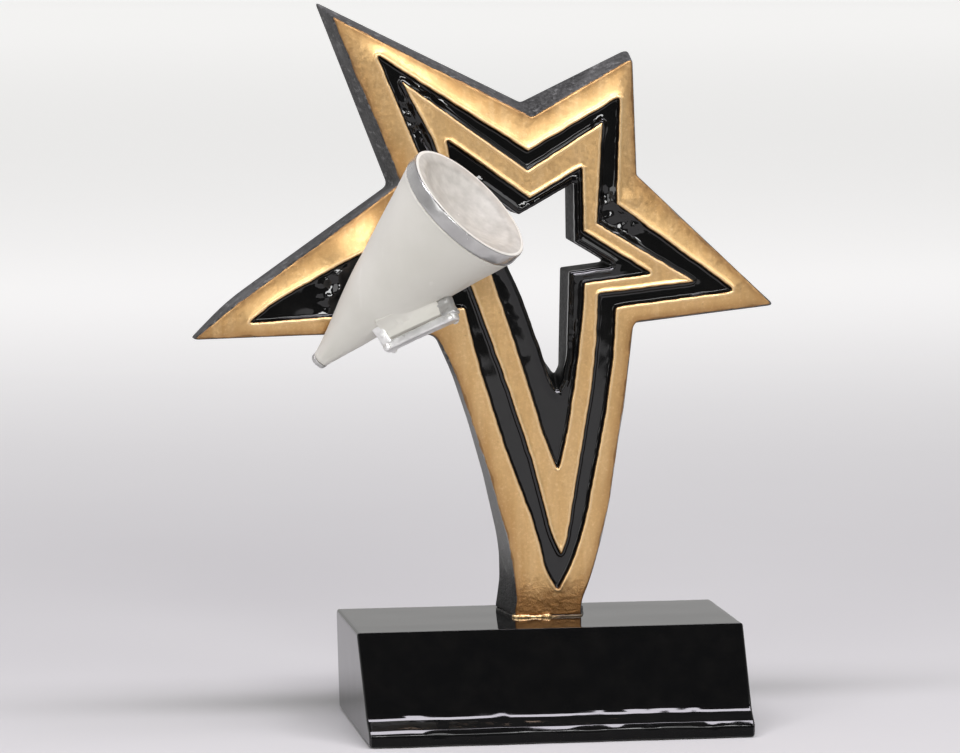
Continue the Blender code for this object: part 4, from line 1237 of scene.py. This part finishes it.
# ------------------------------------------------------------------ strap, feet and rivets
st = []
for t, wd, th, up in ((-0.085, 1.0, 0.75, -0.5), (-0.05, 1.34, 1.08, -0.38), (0.0, 1.42, 1.14, -0.36), (0.10, 1.34, 1.08, -0.36), (0.3, 1.30, 1.05, -0.38),
                      (0.5, 1.30, 1.06, -0.36), (0.7, 1.33, 1.08, -0.36), (0.9, 1.40, 1.12, -0.34), (1.0, 1.45, 1.15, -0.34), (1.06, 1.35, 1.05, -0.36),
                      (1.09, 1.05, 0.8, -0.42)):
    st.append((e0 + (e1 - e0) * t + strap_out * up, strap_side, strap_out, wd, th))
strap = finish_piece(swept("handle_strap", st, M_SILVER, 64, 44, 0.07, 2.0, 4.2), "handle_bar")

for foot, end, nm, node in zip(HANDLE_FEET, ends, ("front", "rear"), ("handle_bracket_front", "handle_bracket_rear")):
    low = over_cone(foot[0], foot[1], -0.25)
    high = end - strap_out * 1.2
    along = (radial(foot[1]) * ((BELL_R - TIP_R) / (LENGTH - BAND_W)) + Vector((0, 0, 1))).normalized()
    around_ = Vector((0, 0, 1)).cross(radial(foot[1]))
    if around_.dot(strap_side) < 0:
        around_ = -around_
    wide, thick = (1.40, 1.40) if nm == "front" else (1.55, 1.80)
    st = [(low, around_, along, wide * 1.18, thick * 1.15), (low.lerp(high, 0.18), around_, along, wide * 1.08, thick * 1.06),
          (low.lerp(high, 0.4), around_, along, wide, thick), (low.lerp(high, 0.7), strap_side, run, wide, thick),
          (high, strap_side, run, wide, thick * 1.05), (high + strap_out * 0.6, strap_side, run, wide * 0.9, thick * 0.9)]
    finish_piece(swept("handle_foot_" + nm, st, M_SILVER if nm == "front" else M_FOOT, 40, 36, 0.14, 5.0 if nm == "front" else 9.0, 4.0), node)

for end, nm, node in zip(ends, ("front", "rear"), ("handle_rivet_front", "handle_rivet_rear")):
    bb, rings = Build(), []
    prof_r = [(0, 2.05), (0.35, 2.03), (0.62, 1.93), (0.85, 1.78), (0.96, 1.58), (0.93, 1.42), (0.5, 1.36), (0.5, -1.36), (0.93, -1.42),
              (0.96, -1.58), (0.85, -1.78), (0.62, -1.93), (0.35, -2.03), (0, -2.05)]
    for r, s in prof_r:
        if r == 0:
            rings.append(bb.add([world(end + strap_side * s)]))
        else:
            rings.append(bb.add([world(end + strap_side * s + (run * math.cos(t) + strap_out * math.sin(t)) *
                                       (r + 0.05 * noise.noise(Vector((math.cos(t) * 2, math.sin(t) * 2, s)))))
                                 for t in np.linspace(0, 2 * math.pi, 33)[:-1]]))
    for r1, r2 in zip(rings, rings[1:]):
        if len(r1) == 1 or len(r2) == 1:
            o, r = (r1[0], r2) if len(r1) == 1 else (r2[0], r1)
            for i in range(32):
                bb.f.append((o, r[i], r[(i + 1) % 32]))
                bb.m.append(0)
        else:
            bb.strip(r1, r2)
    finish_piece(bb.object("rivet_" + nm, [M_SILVER], 50), node)

# ------------------------------------------------------------------ bead of glue and paint round the foot
path = [(-5.6, 5.75), (2.0, 5.6), (9.8, 5.75), (11.1, 11.0), (12.2, 18.4), (11.2, 21.6), (8.0, 22.2), (-4.0, 22.2), (-6.8, 21.6), (-7.9, 18.4), (-6.6, 11.0)]
pk = [(x, y, 1.0) for x, y in path]
bead = sampled(pk, step=0.35)[0]
ctr = bead.mean(0)
bn = normals2(bead)
if ((bead - ctr) * bn).sum() < 0:
    bn = -bn
b, rings = Build(), []
around = 14
for i, p in enumerate(bead):
    k = 0.5 + 0.5 * noise.noise(Vector((p[0] * 0.45, p[1] * 0.45, 2.0)))
    k2 = noise.noise(Vector((p[0] * 1.3, p[1] * 1.3, 6.0)))
    rad = 0.30 + 0.26 * k + 0.20 * k2
    if p[1] < 7:
        rad *= (1.25 if p[0] < 2.5 else 0.70) * float(sstep(np.array(min(p[0] + 6.6, 10.6 - p[0])), -0.4, 1.2) * 0.6 + 0.4)
    else:
        rad *= 0.72
    c = p + bn[i] * (0.16 * k - (0.10 if p[1] < 7 else 0.22))
    ring_pts = []
    for j in range(around):
        t = 2 * math.pi * j / around
        q = c + bn[i] * rad * math.cos(t)
        ring_pts.append((q[0], q[1], max(BASE_H + 0.02, BASE_H + 0.42 * rad + rad * 0.95 * math.sin(t))))
    rings.append(b.add(ring_pts))
n = len(rings)
for i in range(n):
    b.strip(rings[i], rings[(i + 1) % n])
finish_piece(b.object("foot_bead", [M_BEAD], 60), "foot_glue_bead")

# ------------------------------------------------------------------ carried-over CAD nodes
for name in ("stem_stud", "stud_washer", "stud_nut", "foot_dowel_left", "foot_dowel_right", "megaphone_pin_lower", "megaphone_pin_upper"):
    ob = frame["nodes"][name]
    ob.data.materials.clear()
    ob.data.materials.append(M_ZINC)
felt = frame["nodes"]["felt_pad"]
felt.data.materials.clear()
felt.data.materials.append(M_FELT)

# ------------------------------------------------------------------ floor, light
bm = bmesh.new()
q = [bm.verts.new(p) for p in ((-9, -0.76, 0), (9, -0.76, 0), (9, 16, 0), (-9, 16, 0))]
bm.faces.new(q)
me = bpy.data.meshes.new("floor")
bm.to_mesh(me)
bm.free()
floor_mat = Mat("pale_floor")
far = floor_mat.axis("Y")
paper = floor_mat.mix(floor_mat.fit(floor_mat.noise(6, 3), 0.3, 0.7), (0.53, 0.527, 0.519), (0.538, 0.535, 0.527))
# Painted light: the floor glows, faintly near the object and more strongly towards the back, standing in for a lit
# backdrop.
floor_mat.set(Base_Color=paper, Roughness=0.7, Emission_Color=(1.0, 0.995, 0.985),
              Emission_Strength=floor_mat.math("ADD", floor_mat.fit(far, 0.10, 1.2, 0.02, 0.66), floor_mat.fit(far, 1.6, 5.0, 0.0, 0.12)))
floor_mat.b.inputs["Specular IOR Level"].default_value = 0.1
me.materials.append(floor_mat.m)
floor = bpy.data.objects.new("floor", me)
SC.collection.objects.link(floor)


def area(name, at, target, size, power, colour=(1, 1, 1)):
    li = bpy.data.lights.new(name, "AREA")
    li.shape = "RECTANGLE"
    li.size, li.size_y = size
    li.energy = power
    li.color = colour
    ob = bpy.data.objects.new(name, li)
    SC.collection.objects.link(ob)
    ob.location = at
    ob.rotation_euler = (Vector(target) - Vector(at)).to_track_quat("-Z", "Y").to_euler()
    return ob


aim = (0, 0.01, 0.09)
area("key_left", (-0.95, -1.05, 0.55), aim, (0.7, 0.9), 5.2)
area("key_right", (1.05, -0.95, 0.80), aim, (0.7, 0.9), 4.5)
area("front_high", (0.14, -1.56, 0.76), aim, (0.84, 0.34), 12.8)
area("overhead", (0.0, -0.245, 1.15), aim, (1.8, 0.21), 17, (0.95, 0.91, 1.0))

w = bpy.data.worlds.new("studio")
SC.world = w
w.use_nodes = True
nt = w.node_tree
nt.nodes.clear()
wo, bg, tc = nt.nodes.new("ShaderNodeOutputWorld"), nt.nodes.new("ShaderNodeBackground"), nt.nodes.new("ShaderNodeTexCoord")
sep = nt.nodes.new("ShaderNodeSeparateXYZ")
nt.links.new(tc.outputs["Generated"], sep.inputs[0])
rng = nt.nodes.new("ShaderNodeMapRange")
rng.interpolation_type = "SMOOTHSTEP"
for k, v in (("From Min", -0.75), ("From Max", 0.45), ("To Min", 0.07), ("To Max", 0.62)):
    rng.inputs[k].default_value = v
nt.links.new(sep.outputs["Y"], rng.inputs["Value"])
up = nt.nodes.new("ShaderNodeMapRange")
up.interpolation_type = "SMOOTHSTEP"
for k, v in (("From Min", 0.35), ("From Max", 0.75), ("To Min", 1.0), ("To Max", 0.16)):
    up.inputs[k].default_value = v
nt.links.new(sep.outputs["Z"], up.inputs["Value"])
mul = nt.nodes.new("ShaderNodeMath")
mul.operation = "MULTIPLY"
nt.links.new(rng.outputs[0], mul.inputs[0])
nt.links.new(up.outputs[0], mul.inputs[1])
lp = nt.nodes.new("ShaderNodeLightPath")
mx = nt.nodes.new("ShaderNodeMix")
nt.links.new(lp.outputs["Is Camera Ray"], mx.inputs[0])
nt.links.new(mul.outputs[0], mx.inputs[2])
mx.inputs[3].default_value = 0.90
nt.links.new(mx.outputs[0], bg.inputs["Strength"])
nt.links.new(bg.outputs[0], wo.inputs[0])
bg.inputs["Color"].default_value = (1.0, 0.99, 0.975, 1)

# ------------------------------------------------------------------ end
bpy.context.view_layer.update()
